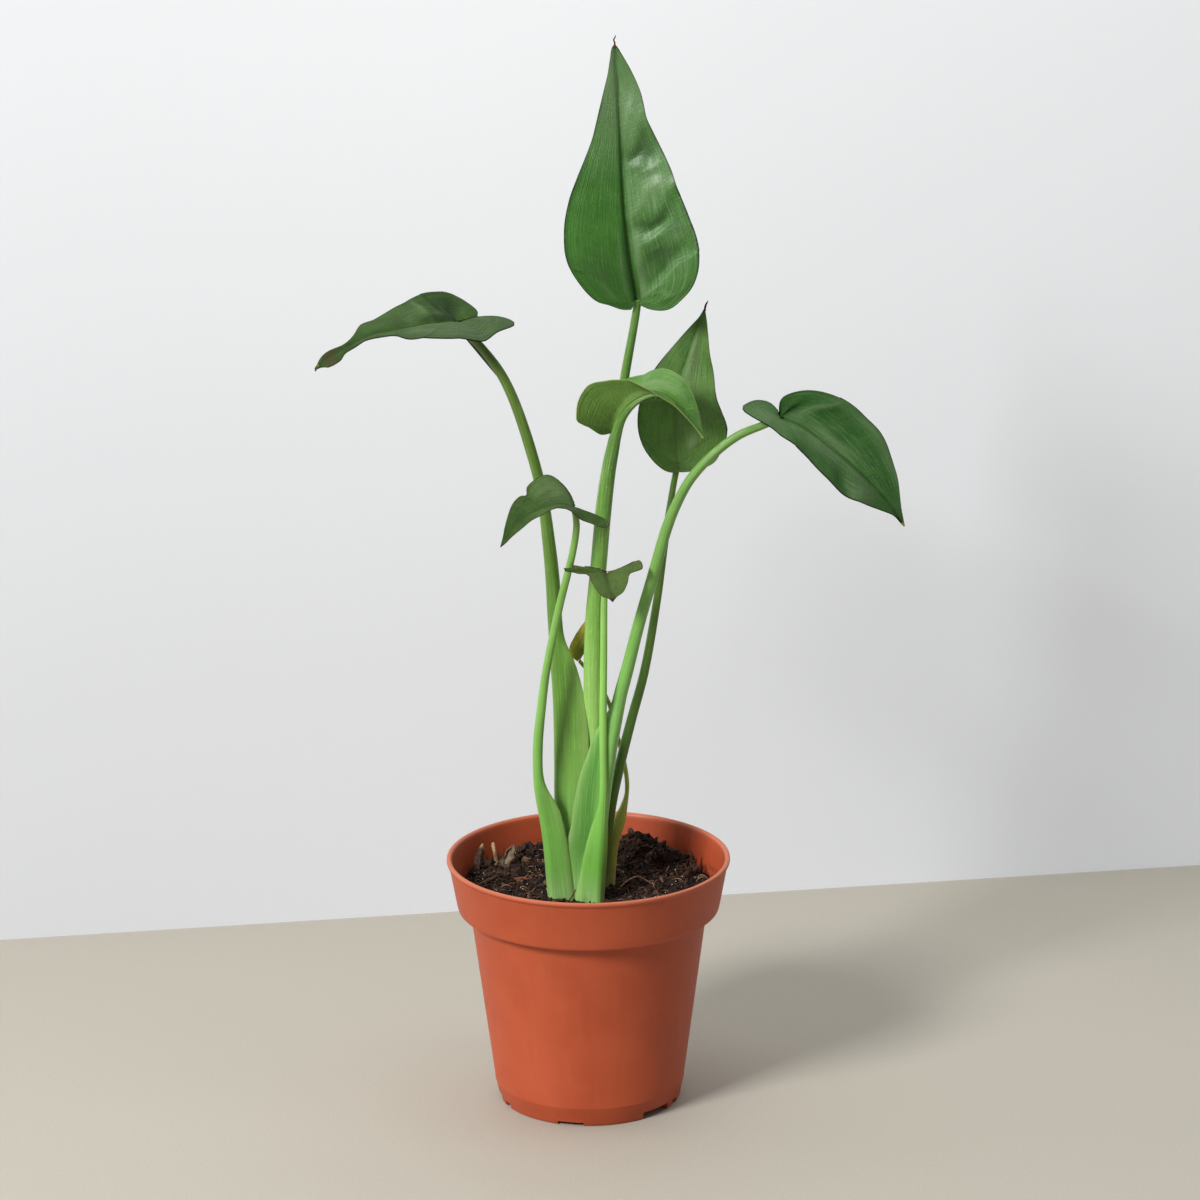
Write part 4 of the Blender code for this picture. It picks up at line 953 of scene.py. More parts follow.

# %% [markdown]
# ### The right blade
# It arches out to the right and hangs over, dark green, with a broad satin sheen along its midrib that is partly
# painted sheen, a yellowish tip and a thin dark margin. Its near lobe is folded up and greyer with painted sheen.

# %% The right blade
RIGHT = dict(
    spine=[(64, -13.5, 303.8), (72, -12.8, 302.3), (79.6, -12, 299.8), (87.4, -13, 297), (95.5, -14.5, 291.5),
        (101.5, -16, 286.8), (107.6, -17.5, 282), (115.7, -19.5, 274.5), (124, -21.5, 265.3), (130, -23, 256.5)],
    join=2, up=[(0.1, -0.55, 0.8)] * 2 + [(0.25, -0.6, 0.75)] * 8,
    left=[(-0.8, 2), (-1.4, 5), (-1.2, 9), (1.4, 13.4), (6.5, 18.7), (13.6, 23), (24, 25), (38, 21.6), (51, 12.3),
        (62.6, 3)],
    right=[(-1.6, -4.5), (-4.4, -8.6), (-9.5, -8.6), (-14.5, -4.4), (-16.6, -0.8), (-13.3, 3.7), (-7.5, 8.3),
        (5, 14.8), (19, 16.3), (31, 19), (44.5, 17), (57, 6.4), (64, 1)], rise_left=[(-16, 8), (0, 8), (80, 4)],
    curl_left=-0.5, rise_right=[(-16, 14), (0, 18), (80, 8)], valley=(0.6, 0.2, 1.6), groove=0.03, quilt=0.1, lobe=18,
    brown_tip=2.5, ruffle=(21, 0.3), veins_left=[-9, -2, 6, 15, 25, 36, 47, 58],
    veins_right=[-12, -5, 3, 12, 22, 32, 43, 54],
    waves=[(-1, 6, 0.5, 2.4, 0.3, 1.0), (-1, 0, 0.3, 4, 0.25, -1.2), (1, 41, 0.7, 5, 0.4, 0.9),
        (1, 31, 0.6, 4.0, 0.3, -0.6), (-1, 26, 0.14, 22, 0.1, 0.7), (1, 26, 0.2, 22, 0.14, 0.8)],
    pale=[(0, 62, 0.4, 5, 0.8, 0.3), (-1, 30, 0.9, 24, 0.12, 0.7), (1, -8, 0.5, 8, 0.8, 0.9),
        (1, 10, 0.5, 9, 0.3, 0.5), (-1, 22, 0.1, 18, 0.12, 0.9), (1, 22, 0.2, 18, 0.22, 0.9),
        (1, 43, 0.7, 7, 0.35, 1.0), (1, 37, 0.85, 3, 0.2, 0.8), (-1, 6, 0.5, 1.2, 0.35, 0.9)],
    dark=[(-1, -1, 0.2, 5, 0.25, 0.9), (-1, 14, 0.5, 14, 0.3, 0.2), (1, 30, 0.5, 9, 0.4, 0.25)],
    painted_sheen=[(0, 26, 0.15, 26, 0.35, 1.1), (1, 40, 0.75, 7, 0.4, 1.3), (-1, 30, 0.9, 30, 0.15, 0.7)], rib_wide=0.5)
grow_blade("right", RIGHT, (28, 76, 5), (42, 92, 15), (88, 116, 56), (22, 24, 12), gloss=0.48, waxy=0.0, shiny=0.28,
           veined=0.06, tip=(140, 130, 50))

# %% [markdown]
# ### The back blade
# Upright like the top one but smaller, half hidden behind the right stalk, with a brown point. Painted sheen and
# painted glints lie along its midrib, and a patch of painted shade on its right half.

# %% The back blade
BACK = dict(
    spine=[(38.7, 16.2, 269), (38.2, 15, 274.5), (37.4, 14.3, 284), (37.2, 14.8, 297), (38.6, 16, 307),
        (42, 17.5, 318), (46, 19, 329.5), (49.4, 20, 339)],
    left=[(-4.9, 0.2), (-4.7, 2), (-3.6, 5), (-1, 8), (3, 11), (10, 14.6), (18, 15.8), (28, 14.4), (37, 11.4),
        (45, 8.2), (54, 4.4), (62, 1)],
    right=[(-4.9, 0.2), (-4.9, 3), (-3.8, 9), (0, 16), (12.5, 21.5), (22, 19.6), (30, 16.6), (40, 13.4), (50, 8),
        (60, 3.5)], rise_left=[(-6, 8), (0, 9), (66, 7)], curl_left=-0.2, rise_right=[(-6, 10), (0, 10), (66, 8)],
    curl_right=-0.3, valley=(0.35, 0.2, 1.2), lobe=12, brown_tip=2.5, ruffle=(24, 0.4),
    veins_left=[-8, 0, 9, 18, 28, 39, 50], veins_right=[-7, 1, 10, 20, 30, 40, 51],
    waves=[(1, 44, 0.2, 10, 0.18, 0.9), (1, 6, 0.35, 3, 0.3, 0.8), (-1, 20, 0.5, 10, 0.4, 0.6)],
    pale=[(1, 42, 0.2, 10, 0.12, 0.9), (1, 6, 0.33, 3, 0.10, 0.9), (1, 30, 0.5, 30, 0.5, 0.35),
        (0, 2, 0.0, 8, 0.05, 0.5)], dark=[(1, 20, 0.5, 6, 0.4, 0.3)],
    painted_sheen=[(1, 42, 0.25, 12, 0.25, 1.0), (1, 6, 0.35, 4, 0.2, 1.0)], rib_wide=0.7)
grow_blade("back", BACK, (69, 112, 32), (86, 131, 46), (84, 114, 48), (22, 26, 12), gloss=0.38, waxy=0.15, shiny=0.5,
           veined=0.08)

# %% [markdown]
# ### The young blade
# The newest leaf has just unrolled. It arches over to the right from the top of the middle stalk. One half faces away
# and shows its olive underside; the other is fresh green, with a pale margin. Patches of painted sheen lie along its
# midrib and across its arch.

# %% The young blade
YOUNG = dict(
    spine=[(11, -6.4, 290.4), (11.6, -6.9, 293.9), (13.4, -8.5, 300), (17, -10.3, 305.6), (22.2, -12, 310),
        (28.3, -13.5, 311.7), (35.2, -15, 309.1), (41.6, -16.5, 302.7), (45.7, -17.5, 297), (48.1, -18, 292.6)],
    up=[(-0.75, 0.62, 0.2), (-0.75, 0.62, 0.2), (-0.7, 0.62, 0.3), (-0.5, 0.5, 0.7), (-0.2, 0.2, 1), (0.1, -0.2, 1),
        (0.3, -0.5, 0.75), (0.5, -0.6, 0.5), (0.6, -0.6, 0.4), (0.6, -0.6, 0.4)],
    left=[(-1.5, 1), (-2, 6), (0, 11.5), (4, 16), (10, 18.5), (18, 17.5), (26, 14.5), (34, 11), (45, 5)],
    right=[(-1.5, 1.5), (-1.5, 7), (2.5, 14), (5, 20.5), (7.5, 21), (12, 19), (16, 14), (21, 9), (27, 5.5), (34, 4),
        (45, 2)], rise_left=[(-6, 68), (6, 62), (14, 45), (20, 27), (26, 17), (34, 11), (60, 8)],
    rise_right=[(-6, 10), (0, 10), (6, 16), (12, 36), (17, 46), (21, 46), (25, 24), (30, 8), (60, 0)],
    valley=(0.7, 0.3, 1.4), lobe=8, brown_tip=0.8, ruffle=(19, 0.2), veins_left=[-4, 3, 10, 17, 25, 33, 42],
    veins_right=[-4, 2, 9, 16, 23, 31, 40],
    pale=[(0, 24, 0.1, 6, 0.3, 0.5), (0, 50, 0.5, 5, 1, 0.4), (-1, 26, 0.97, 20, 0.03, 0.8),
        (-1, 24, 0.42, 14, 0.14, 0.9)], painted_sheen=[(0, 24, 0.3, 10, 0.8, 1.0)], rib_wide=0.6)
grow_blade("young", YOUNG, (64, 118, 25), (84, 139, 38), (92, 126, 54), (124, 146, 78), gloss=0.38, waxy=0.12,
           shiny=0.4, veined=0.12, tip=(150, 168, 98))

# %% [markdown]
# ### The two low blades
# Small early leaves on thin stalks. The left one is grey-green and folded like a roof, with painted sheen on it and
# patches of painted shade; the front one droops towards the viewer with its wings spread, and is olive with ragged
# brown ends.

# %% The low left blade
LOW_LEFT = dict(
    spine=[(10.6, -20, 258), (2.4, -18.5, 261), (-5.3, -17.5, 264.2), (-10.6, -18, 265.5), (-16.7, -19, 264.3),
        (-22.9, -20.5, 261.7), (-28.6, -22.5, 257.7), (-32.3, -24.5, 253), (-35.1, -26, 249.3)], join=2,
    up=[(0.2, -0.35, 0.9)] * 3 + [(-0.1, -0.55, 0.83)] * 6,
    left=[(-3, -0.3), (-15, 0.2), (-17, 3), (-15, 5), (-9, 6), (-3, 8), (6, 10), (14, 9.5), (24, 5.5), (32, 2)],
    right=[(0.1, 1.6), (2.2, 5.2), (4.8, 9.2), (7.8, 13.3), (11.3, 13.1), (14.8, 11.2), (16.4, 8), (18, 8.8),
        (21.6, 8), (27.5, 4), (32, 2)],
    rise_left=[(-18, -10), (-6, 5), (0, 22), (5, 36), (12, 38), (20, 30), (40, 10)],
    rise_right=[(-18, 25), (0, 25), (40, 15)], curl_right=-0.3, valley=(0.12, 0.1, 1.2), lobe=14, brown_tip=2,
    ruffle=(14, 0.25), veins_left=[-11, -4, 3, 11, 19, 27], veins_right=[-10, -3, 4, 11, 18, 26],
    pale=[(1, 3, 0.4, 6, 0.5, 0.5)], dark=[(1, 20, 0.4, 8, 0.6, 0.4), (-1, -8, 0.6, 9, 0.8, 0.3)],
    painted_sheen=[(0, 10, 0.5, 10, 1, 0.4)], rib_thick=1.2, rib_wide=0.3)
grow_blade("low_left", LOW_LEFT, (51, 79, 25), (70, 101, 41), (84, 100, 54), (66, 54, 32), gloss=0.52, waxy=0.0,
           shiny=0.25, veined=0.08)

# %% The low front blade
LOW_FRONT = dict(
    spine=[(8, -13.5, 235.6), (8.4, -15, 235.3), (8.6, -18, 234.2), (9.2, -21.5, 232.2), (10, -24.5, 229.2),
        (10.8, -26, 225.8)], up=[(0, -0.3, 0.95)] * 2 + [(0, -0.6, 0.8)] * 4,
    left=[(-0.6, 2), (-1, 9), (-1.6, 14.5), (1.4, 14.8), (4, 9.6), (9, 7.4), (12.3, 5), (13.8, 2)],
    right=[(-1.5, 2.5), (-5, 8), (-7.5, 17), (-1.6, 18.5), (1.6, 13), (2.4, 8), (4.6, 7), (9.4, 5.6), (12.4, 3.8),
        (13.8, 1.4)], rise_left=[(-6, 6), (4, 7), (25, 0)], curl_left=0.5,
    rise_right=[(-9, 44), (-4, 38), (-0.5, 22), (2, 14), (6, 5), (25, 4)], curl_right=-1.5, valley=(0.4, 0.15, 1.1),
    groove=0.03, quilt=0.05, lobe=6, brown_tip=1.4, ruffle=(5, 0.12), veins_left=[-4, 0, 4, 8, 12],
    veins_right=[-4, 0, 4, 8, 12],
    brown=[(-1, -4, 1.0, 3, 0.07, 0.8), (1, -4, 1.0, 3, 0.06, 0.8), (0, 14, 0.5, 1.4, 1, 0.5)], rib_thick=1.0)
grow_blade("low_front", LOW_FRONT, (72, 96, 40), (88, 111, 54), (100, 106, 58), (70, 54, 34), gloss=0.52, waxy=0.0,
           shiny=0.25, veined=0.06, tip=(80, 56, 34))

# %% [markdown]
# ### The yellow blade
# A spent leaf hangs rolled up behind the middle stalk, mustard yellow, with a large olive patch of painted shade on one
# half.

# %% The yellow blade
YELLOW = dict(
    spine=[(-2, 13, 186.6), (-3.6, 12.2, 189.6), (-4.6, 11.5, 193.4), (-2.4, 11, 198.6), (0.4, 11.3, 203.8),
        (4.2, 12, 210.5), (6.4, 13, 216)], up=[(-0.5, -0.85, 0.1)],
    left=[(0, 0.8), (4, 3), (9, 3.4), (15, 3), (22, 2), (25, 1)],
    right=[(0, 0.8), (3, 3.4), (8, 4.3), (15, 3.8), (22, 2.2), (25, 1)], rise_left=[(0, 25)], rise_right=[(0, -25)],
    valley=(0.3, 0.1, 1.0), groove=0.08, quilt=0.12, lobe=3, brown_tip=1.5, ruffle=(6, 0.1),
    dark=[(1, 7, 0.55, 9, 0.4, 1.0)], veins_left=[0, 5, 10, 15, 20], veins_right=[0, 5, 10, 15, 20], rib_thick=0.9)
grow_blade("yellow", YELLOW, (176, 158, 48), (232, 212, 84), (186, 164, 50), (120, 86, 38), gloss=0.46, waxy=0.08,
           slot="yellow_leaf")

# %% [markdown]
# ## Stalks
# Every leaf has its own stalk, and the stalks stand in each other's sheaths: above, a stalk is round and
# juicy; lower down it opens into a thin, curved sheath with pale edges that wraps the next one. A stalk
# is a grid rolled round its route, ring by ring. Each ring blends from a round section into a sheath
# with a rib down its back.

# %% Stalks: one ring
BASE_Z = 88.8               # the height of the corm's shoulders, where every stalk starts
STALK_SIDES, STALK_RINGS = 44, 150
RIB_HIGH, RIB_WIDE = 0.8, 2.1
THIN, STOUT, WEB_WIDE = 0.35, 1.0, 3.2      # a sheath is THIN at its edges and STOUT more at its middle
RIDGE_HIGH = 0.05


def ring_shape(turn, on_back, left, right, depth, sheath):
    """Across, outwards and thinness of one point of a ring. turn runs -90..90 degrees over the back."""
    across = np.where(turn > 0, right, left) * np.sin(turn)
    bow = depth * np.cos(turn)
    ribbed = RIB_HIGH * sheath * np.exp(-(across / RIB_WIDE) ** 2)
    skin = THIN + STOUT * np.exp(-(across / WEB_WIDE) ** 2) * (1 - 0.4 * sheath) + 1.2 * ribbed
    inside_round, inside_sheath = -bow, bow - skin * np.cos(turn) ** 0.35
    inside = inside_round + (inside_sheath - inside_round) * sheath
    edge = np.abs(np.sin(turn)) ** 6 * sheath
    return across, np.where(on_back, bow + ribbed, inside), edge


# %% [markdown]
# Stalk skin is pale green and finely striped lengthwise. It whitens towards the soil and at the sheaths'
# thin edges, darkens to olive high up on the older stalks, and has a soft gloss.

# %% Stalks: finish
STALK_GLOSS = 0.38
SHEATH_EDGE, PALE_FOOT = (176, 204, 128), (206, 226, 176)


def stalk_skin(name, low, middle, high, reach=(120, 330), wing=None):
    """Three colours from the soil up, over the heights in reach; wing colours a sheath's left wing."""
    skin = Finish(name, roughness=STALK_GLOSS, specular=0.4, coat=0.08, coat_roughness=0.3, thin_glow=0.12)
    around, along, height = [skin.read(key) for key in ("around", "along", "height")]
    streak = skin.grain(skin.join(skin.times(around, 1.9), skin.times(along, 0.035)), 1.0, 4.0, 0.6)
    fine = skin.grain(skin.join(skin.times(around, 6.5), skin.times(along, 0.12)), 1.0, 3.0)
    cloud = skin.grain(skin.place(70.0), detail=3.0)
    speckle = skin.grain(skin.place(1300.0), detail=2.0)
    wings = [(skin.times(skin.read("wing"), skin.between(height, 98, 120)), wing)] if wing else []
    foot = skin.times(skin.between(height, 106, 92, 0.0, 0.35), skin.between(streak, 0.3, 0.6, 0.2, 1.0))
    lighter, darker = shaded(low, 1.18, 10), shaded(middle, 0.74)
    colour = skin.coats(
        low,
        (skin.between(height, 100, reach[0] + 60), middle),
        (skin.between(height, reach[0] + 40, reach[1]), high),
        *wings,
        (foot, PALE_FOOT),
        (skin.between(streak, 0.5, 0.75, 0.0, 0.4), lighter),
        (skin.between(streak, 0.48, 0.28, 0.0, 0.4), darker),
        (skin.between(fine, 0.55, 0.75, 0.0, 0.25), lighter),
        (skin.between(cloud, 0.35, 0.7, 0.0, 0.2), darker),
        (skin.between(speckle, 0.62, 0.76, 0.0, 0.25), lighter),
        (skin.times(skin.read("edge"), 0.45), SHEATH_EDGE))
    rough = skin.between(streak, 0.3, 0.7, STALK_GLOSS - 0.03, STALK_GLOSS + 0.08)
    return skin.finish(colour, rough, skin.relief(fine, 0.05, Normal=skin.relief(streak, 0.22)))


# %% [markdown]
# `grow_stalk` lays the rings along the stalk's route. Where a stalk is round, one radius, or a radius
# and half its depth, says enough, and `full_row` writes out the rest.

# %% Stalks: rolling one round its route


def full_row(x, y, z, left, *rest):
    """(left, right, half depth, sheath) at one place; a round stalk gives (radius) or (radius, half depth)."""
    return (x, y, z, left, *rest) if len(rest) > 1 else (x, y, z, left, left, rest[0] if rest else left, 0)


def grow_stalk(kind, *colours, back, route, slot="stalk_green", **feel):
    finish = stalk_skin(kind + "_stalk_skin", *colours, **feel)
    rows = [full_row(*row) for row in route]
    place, rings, along, side, out = rings_along(rows, LINE_STEPS, STALK_RINGS, 1.5, unit(np.array([*back, 0.0])))
    sheet, row, column = sheet_of_cells(kind + "_stalk", STALK_RINGS, STALK_SIDES)
    half = STALK_SIDES // 2
    on_back = column <= half
    turn = np.where(on_back, np.pi * (column / half - 0.5), np.pi * (1.5 - column / half))
    left, right, depth, sheath = rings[row, 3:].T
    across, outwards, edge = ring_shape(turn, on_back, left, right, depth, sheath)
    ridges = RIDGE_HIGH * np.sin(across * 5.2 + 1.3) * on_back * (0.4 + 0.6 * sheath)
    points = rings[row, :3] + side[row] * across[:, None] + out[row] * (outwards + ridges)[:, None]
    low = row == 0
    points[low] -= along[0] * ((points[low, 2] - BASE_Z) / along[0, 2])[:, None]      # a flat foot on the corm
    set_points(sheet, to_scene(points))
    for key, values in dict(height=points[:, 2], along=place[row], around=np.where(on_back, across, across + 40),
                            edge=edge, wing=sheath * np.clip((-across - 2.5) / 3, 0, 1)).items():
        carry(sheet, key, values)
    close_seams(sheet)
    dress(sheet, finish)
    settle(sheet, "petiole_" + kind, smooth=60)


# %% [markdown]
# ### The eight stalks
# Each one is given by its three colours, the way its back faces, and its route from the corm to the
# blade: the rib's place, how far the stalk reaches to either side of it, half its depth, and how far it
# has opened into a sheath.

# %% The stalks of the upper blades
grow_stalk("top", (128, 180, 90), (118, 166, 76), (86, 126, 50), back=(0.1, 1), route=[
    (2, 7, BASE_Z, 3.2, 2.4), (3, 7, 115, 2.6, 2.4), (4.2, 7, 174, 2.5, 2.4), (4.5, 7, 200, 2.3), (5.2, 7, 235, 2.1),
    (8, 7.2, 262, 2.05), (12.2, 7.6, 286, 2.0), (16.6, 8.3, 315, 1.85), (19.4, 9.5, 330, 1.7),
    (21.1, 10.2, 340, 1.6, 1.5), (21.5, 9.5, 343.2, 1.5), (21.5, 8.7, 344.8, 1.25)])
grow_stalk("back", (92, 130, 50), (86, 122, 44), (84, 116, 42), back=(1, 0.3), route=[
    (6.6, 6.6, BASE_Z, 1.9, 1.8), (8.0, 6.8, 112, 2.0), (10.4, 7.2, 130, 2.3, 2.1), (13.5, 8, 144.5, 2.5, 2.1),
    (18.5, 9, 164.5, 2.2, 2.0), (24.0, 10.6, 185, 1.9), (29.4, 13, 215.5, 1.7), (32.8, 15.2, 241, 1.65, 1.6),
    (36.6, 18.4, 265, 1.4, 1.3), (37.9, 18.2, 271.5, 1.3), (38.2, 16.0, 274.6, 1.1)])
grow_stalk("left", (122, 172, 82), (96, 142, 50), (84, 108, 38), back=(-0.45, -0.89), route=[
    (-9.2, -0.3, BASE_Z, 3.5, 8, 5.0, 1), (-10, -0.4, 113, 3.4, 10, 4.6, 1), (-11, 0.2, 132, 3.1, 12, 3.4, 1),
    (-11.3, 0.8, 150, 2.9, 13.4, 2.5, 1), (-11.5, 1.6, 171, 2.9, 12.6, 2.4, 0.9),
    (-12, 2.4, 184, 3.0, 10.4, 2.5, 0.8), (-12.6, 2.7, 193, 3.0, 8.0, 2.6, 0.7), (-13, 3, 202, 3.0, 4.2, 2.7, 0.4),
    (-13.5, 3, 213, 3.1, 2.8), (-14.2, 3, 228, 3.0, 2.8), (-15.7, 3, 244.5, 2.7, 2.6), (-18.2, 3.3, 264, 2.3),
    (-23.4, 4, 285, 2.3, 2.2), (-30.2, 4.8, 305.3, 2.1), (-35.5, 5, 316, 2.0), (-42.9, 5, 326, 1.8),
    (-47.8, 5, 331.2, 1.7), (-52.2, 5, 335.6, 1.5)])
grow_stalk("right", (124, 188, 92), (128, 184, 90), (104, 142, 62), back=(0.05, -1), wing=(84, 148, 56), route=[
    (4.4, -5.5, BASE_Z, 12.4, 1.8, 3.6, 1), (5.4, -6, 113, 14.7, 2.0, 3.4, 1), (6.0, -6.2, 121, 13.5, 2.1, 3.2, 1),
    (6.5, -6.3, 128, 13.0, 2.2, 3.0, 1), (7.3, -6.3, 137, 12.3, 2.4, 2.9, 1), (8.4, -6.3, 146, 11.1, 2.5, 2.9, 1),
    (9.4, -6.4, 153, 9.7, 2.5, 2.8, 0.95), (10.6, -6.5, 162, 7.9, 2.7, 2.8, 0.9),
    (11.6, -6.2, 168, 5.5, 2.8, 2.8, 0.6), (12.7, -5.3, 174, 3.2, 2.8, 2.6, 0.2), (13.9, -4.8, 180, 2.8, 2.5),
    (16.4, -5, 189.5, 2.7, 2.5), (21.6, -7, 211, 2.5, 2.4), (27.4, -8.5, 232, 2.4, 2.3), (33.2, -9.5, 252.9, 2.3),
    (37.3, -10, 263.3, 2.1), (42.8, -10.5, 273.5, 2.0), (52.4, -11, 284.3, 1.9), (62.4, -11.3, 292, 1.8),
    (72.5, -11, 296.2, 1.6, 1.5), (79.0, -12, 298.9, 1.3, 1.2)])
grow_stalk("young", (184, 232, 132), (128, 180, 78), (84, 130, 50), back=(0, -1), reach=(165, 285), route=[
    (2.6, -1.2, BASE_Z, 3.3, 2.6), (2.8, -1.2, 113, 3.7, 3.0), (2.8, -1.2, 130, 3.9, 3.1),
    (2.8, -1.3, 148, 4.2, 3.9, 3.1, 0), (2.8, -1.7, 165, 4.5, 3.9, 3.1, 0), (2.9, -2.9, 180, 4.5, 4.0, 3.3, 0),
    (3, -4.4, 195, 4.4, 4.0, 3.5, 0), (3.2, -5.4, 216, 3.6, 3.3), (4.6, -6, 231.5, 3.4, 3.2),
    (7.4, -6, 262, 3.3, 3.0), (9.4, -6.2, 277, 3.0, 2.8), (10.9, -6.9, 285, 2.75, 2.5), (12.4, -7.9, 292, 2.35, 2.2),
    (14.6, -9.4, 298.6, 1.9, 1.8), (18.2, -11.1, 304, 1.5, 1.4), (23, -12.6, 307.9, 1.15, 1.1),
    (28.6, -14.0, 309.7, 0.8), (34.4, -15.2, 308.4, 0.45)])

# %% The stalks of the low and the yellow blades
grow_stalk("low_left", (120, 184, 82), (130, 184, 86), (112, 144, 66), back=(-0.3, -0.95), route=[
    (-13.5, -5.4, BASE_Z, 3.8, 8.3, 3.2, 0.95), (-14.6, -5.6, 103, 3.6, 8.1, 3.1, 0.95),
    (-16, -6.0, 116.5, 3.3, 7.4, 2.8, 0.95), (-17.8, -6.9, 127.5, 2.9, 6.9, 2.5, 0.95),
    (-19.2, -7.9, 134, 2.5, 5.6, 2.3, 0.85), (-20.2, -9, 140, 2.3, 3.4, 2.1, 0.5), (-20.7, -9.9, 146, 2.2, 2.0),
    (-20.7, -11, 160, 2.1, 2.0), (-19.1, -12, 176.3, 1.9, 1.8), (-17, -13, 192.2, 1.7),
    (-14, -13.5, 207.8, 1.65, 1.6), (-10.6, -14, 223.4, 1.6), (-8, -14.5, 233.8, 1.55, 1.5),
    (-5.5, -15, 244.5, 1.45, 1.4), (-4, -15.6, 254.4, 1.4), (-4.2, -16.3, 259, 1.3), (-5.0, -17.2, 263.0, 1.1, 1.0)])
grow_stalk("low_front", (114, 182, 72), (150, 206, 100), (140, 178, 92), back=(-0.14, -0.99), route=[
    (4.2, -9.3, BASE_Z, 10.2, 2.4, 2.9, 0.9), (4.6, -9.4, 100, 8.6, 2.6, 2.8, 0.9), (5, -9.6, 111, 7, 3.0, 2.5, 0.9),
    (5.6, -9.8, 121, 4.9, 2.8, 2.2, 0.75), (6.1, -10.3, 129, 2.8, 2.2, 1.8, 0.3), (6.4, -10.7, 135, 1.8, 1.6),
    (6.5, -9.8, 170, 1.6, 1.5), (6.9, -10.2, 198, 1.5, 1.4), (7.3, -12.0, 224, 1.35, 1.2), (8, -13.6, 232, 1.1, 1.0),
    (8.3, -14.8, 234.6, 0.9, 0.8)])
grow_stalk("yellow", (186, 198, 96), (160, 176, 70), (146, 144, 52), back=(0.2, -0.98), slot="yellow_stalk", route=[
    (9.6, 8.8, BASE_Z, 1.4, 1.5, 1.0, 0.7), (10.5, 9.4, 105, 1.8, 1.9, 1.1, 0.7), (11.8, 10, 113, 2.2, 2.2, 1.2, 0.7),
    (13.7, 10.8, 120, 2.5, 2.4, 1.2, 0.7), (15.2, 11.4, 125, 1.6, 1.5, 1.1, 0.4), (16.3, 12, 129.5, 0.95, 0.9),
    (16.6, 12.6, 135, 0.95, 0.9), (15.3, 13, 145, 0.9), (12.6, 13.2, 156, 0.9), (8.8, 13.5, 171, 0.9),
    (4.2, 13.8, 179.6, 0.85), (-0.4, 14, 185.4, 0.85), (-3.2, 12.6, 189.2, 0.8)])

# %% [markdown]
# ## What lies on the soil
# Bits of bark, twig and root stick out of the peat, and a scrap of dead leaf stands in it. Each is a
# grid rolled round a bent line, knocked out of round, with its own woody finish. The dried hairs that
# end the top and the back blade are made in the same way.

# %% Twigs and roots
TWIG_RINGS, TWIG_STEPS = 26, 10
ACROSS_TWIGS = np.array([0.31, 0.9, 0.2])       # no twig points this way, so rings can be laid out from it


def grow_twig(name, node, finish, points, seed, sides=14, rough=0.18, on_soil=True):
    """A tapering, uneven piece of wood; points are (x, y, height over the soil or the foot, radius)."""
    rows = [(x, y, (soil_height(x, y) if on_soil else 0.0) + over, radius) for x, y, over, radius in points]
    place, rings, _, side, out = rings_along(rows, TWIG_STEPS, TWIG_RINGS, 0.4, ACROSS_TWIGS)
    sheet, row, column = sheet_of_cells(name, TWIG_RINGS, sides)
    turn = math.tau * (column % sides) / sides
    uneven = np.array([noise.noise((math.cos(t) * 1.4 + seed, math.sin(t) * 1.4, p * 0.9))
                       for t, p in zip(turn, place[row])])
    radius = rings[row, 3] * (1 + rough * 2 * uneven)
    points = rings[row, :3] + side[row] * (radius * np.cos(turn))[:, None] + out[row] * (radius * np.sin(turn))[:, None]
    set_points(sheet, to_scene(points))
    carry(sheet, "along", place[row] / place[-1])
    close_seams(sheet)
    dress(sheet, finish)
    settle(sheet, node, smooth=50)


def wood_skin(name, dark, light, tip=None):
    skin = Finish(name, roughness=0.85, specular=0.25)
    grain = skin.grain(skin.place(900.0, 900.0, 220.0), detail=5.0, roughness=0.65)
    tips = [(skin.between(skin.read("along"), 0.72, 0.95), tip)] if tip else []
    colour = skin.coats(dark, (skin.between(grain, 0.35, 0.68), light), *tips)
    return skin.finish(colour, None, skin.relief(grain, 0.35))


stub_wood = wood_skin("dark_stub_wood", (34, 22, 17), (82, 58, 45), (158, 130, 104))
dark_wood = wood_skin("dark_twig_wood", (40, 25, 19), (92, 60, 46))
pale_wood = wood_skin("pale_twig_wood", (150, 116, 84), (206, 176, 140))
root_skin = wood_skin("root_thread_skin", (52, 32, 22), (104, 70, 48))
pale_root = wood_skin("pale_root_skin", (132, 100, 72), (184, 150, 116))
red_wood = wood_skin("red_twig_wood", (84, 46, 32), (140, 84, 60))

grow_twig("woody_stub_bark", "woody_stub", stub_wood, [
    (-47.8, 16.6, -1.0, 2.3), (-47.2, 18.6, 2.6, 2.0), (-46.4, 21.5, 6.2, 1.5), (-45.7, 23.6, 8.6, 0.8),
    (-45.4, 24.4, 9.6, 0.35)], seed=3.1, rough=0.3)
grow_twig("pale_twig_wood", "pale_twig", pale_wood, [
    (-39.9, 26.4, -0.6, 0.95), (-40.3, 27.6, 3.6, 0.85), (-41.0, 28.9, 8.2, 0.8), (-41.2, 29.4, 9.2, 0.5)],
    seed=5.5)
grow_twig("bark_spike_wood", "bark_spike", dark_wood, [
    (45.6, 21.6, -0.8, 1.5), (45.0, 22, 3.4, 1.15), (44.2, 22.2, 6.6, 0.6), (43.6, 22.3, 8.6, 0.25)],
    seed=7.2, rough=0.3)
grow_twig("bark_spike_small", "bark_spike", dark_wood, [
    (48.2, 20.4, -0.5, 0.9), (48.0, 20.6, 1.8, 0.6), (47.8, 20.7, 3.4, 0.2)], seed=2.2)
grow_twig("root_thread_dark", "root_thread", root_skin, [
    (-12.4, -17.2, 0.2, 0.35), (-9.6, -16.8, 2.4, 0.32), (-6.9, -16.2, 5.4, 0.3), (-5.3, -15.6, 8.2, 0.22)],
    seed=4.4, sides=8)
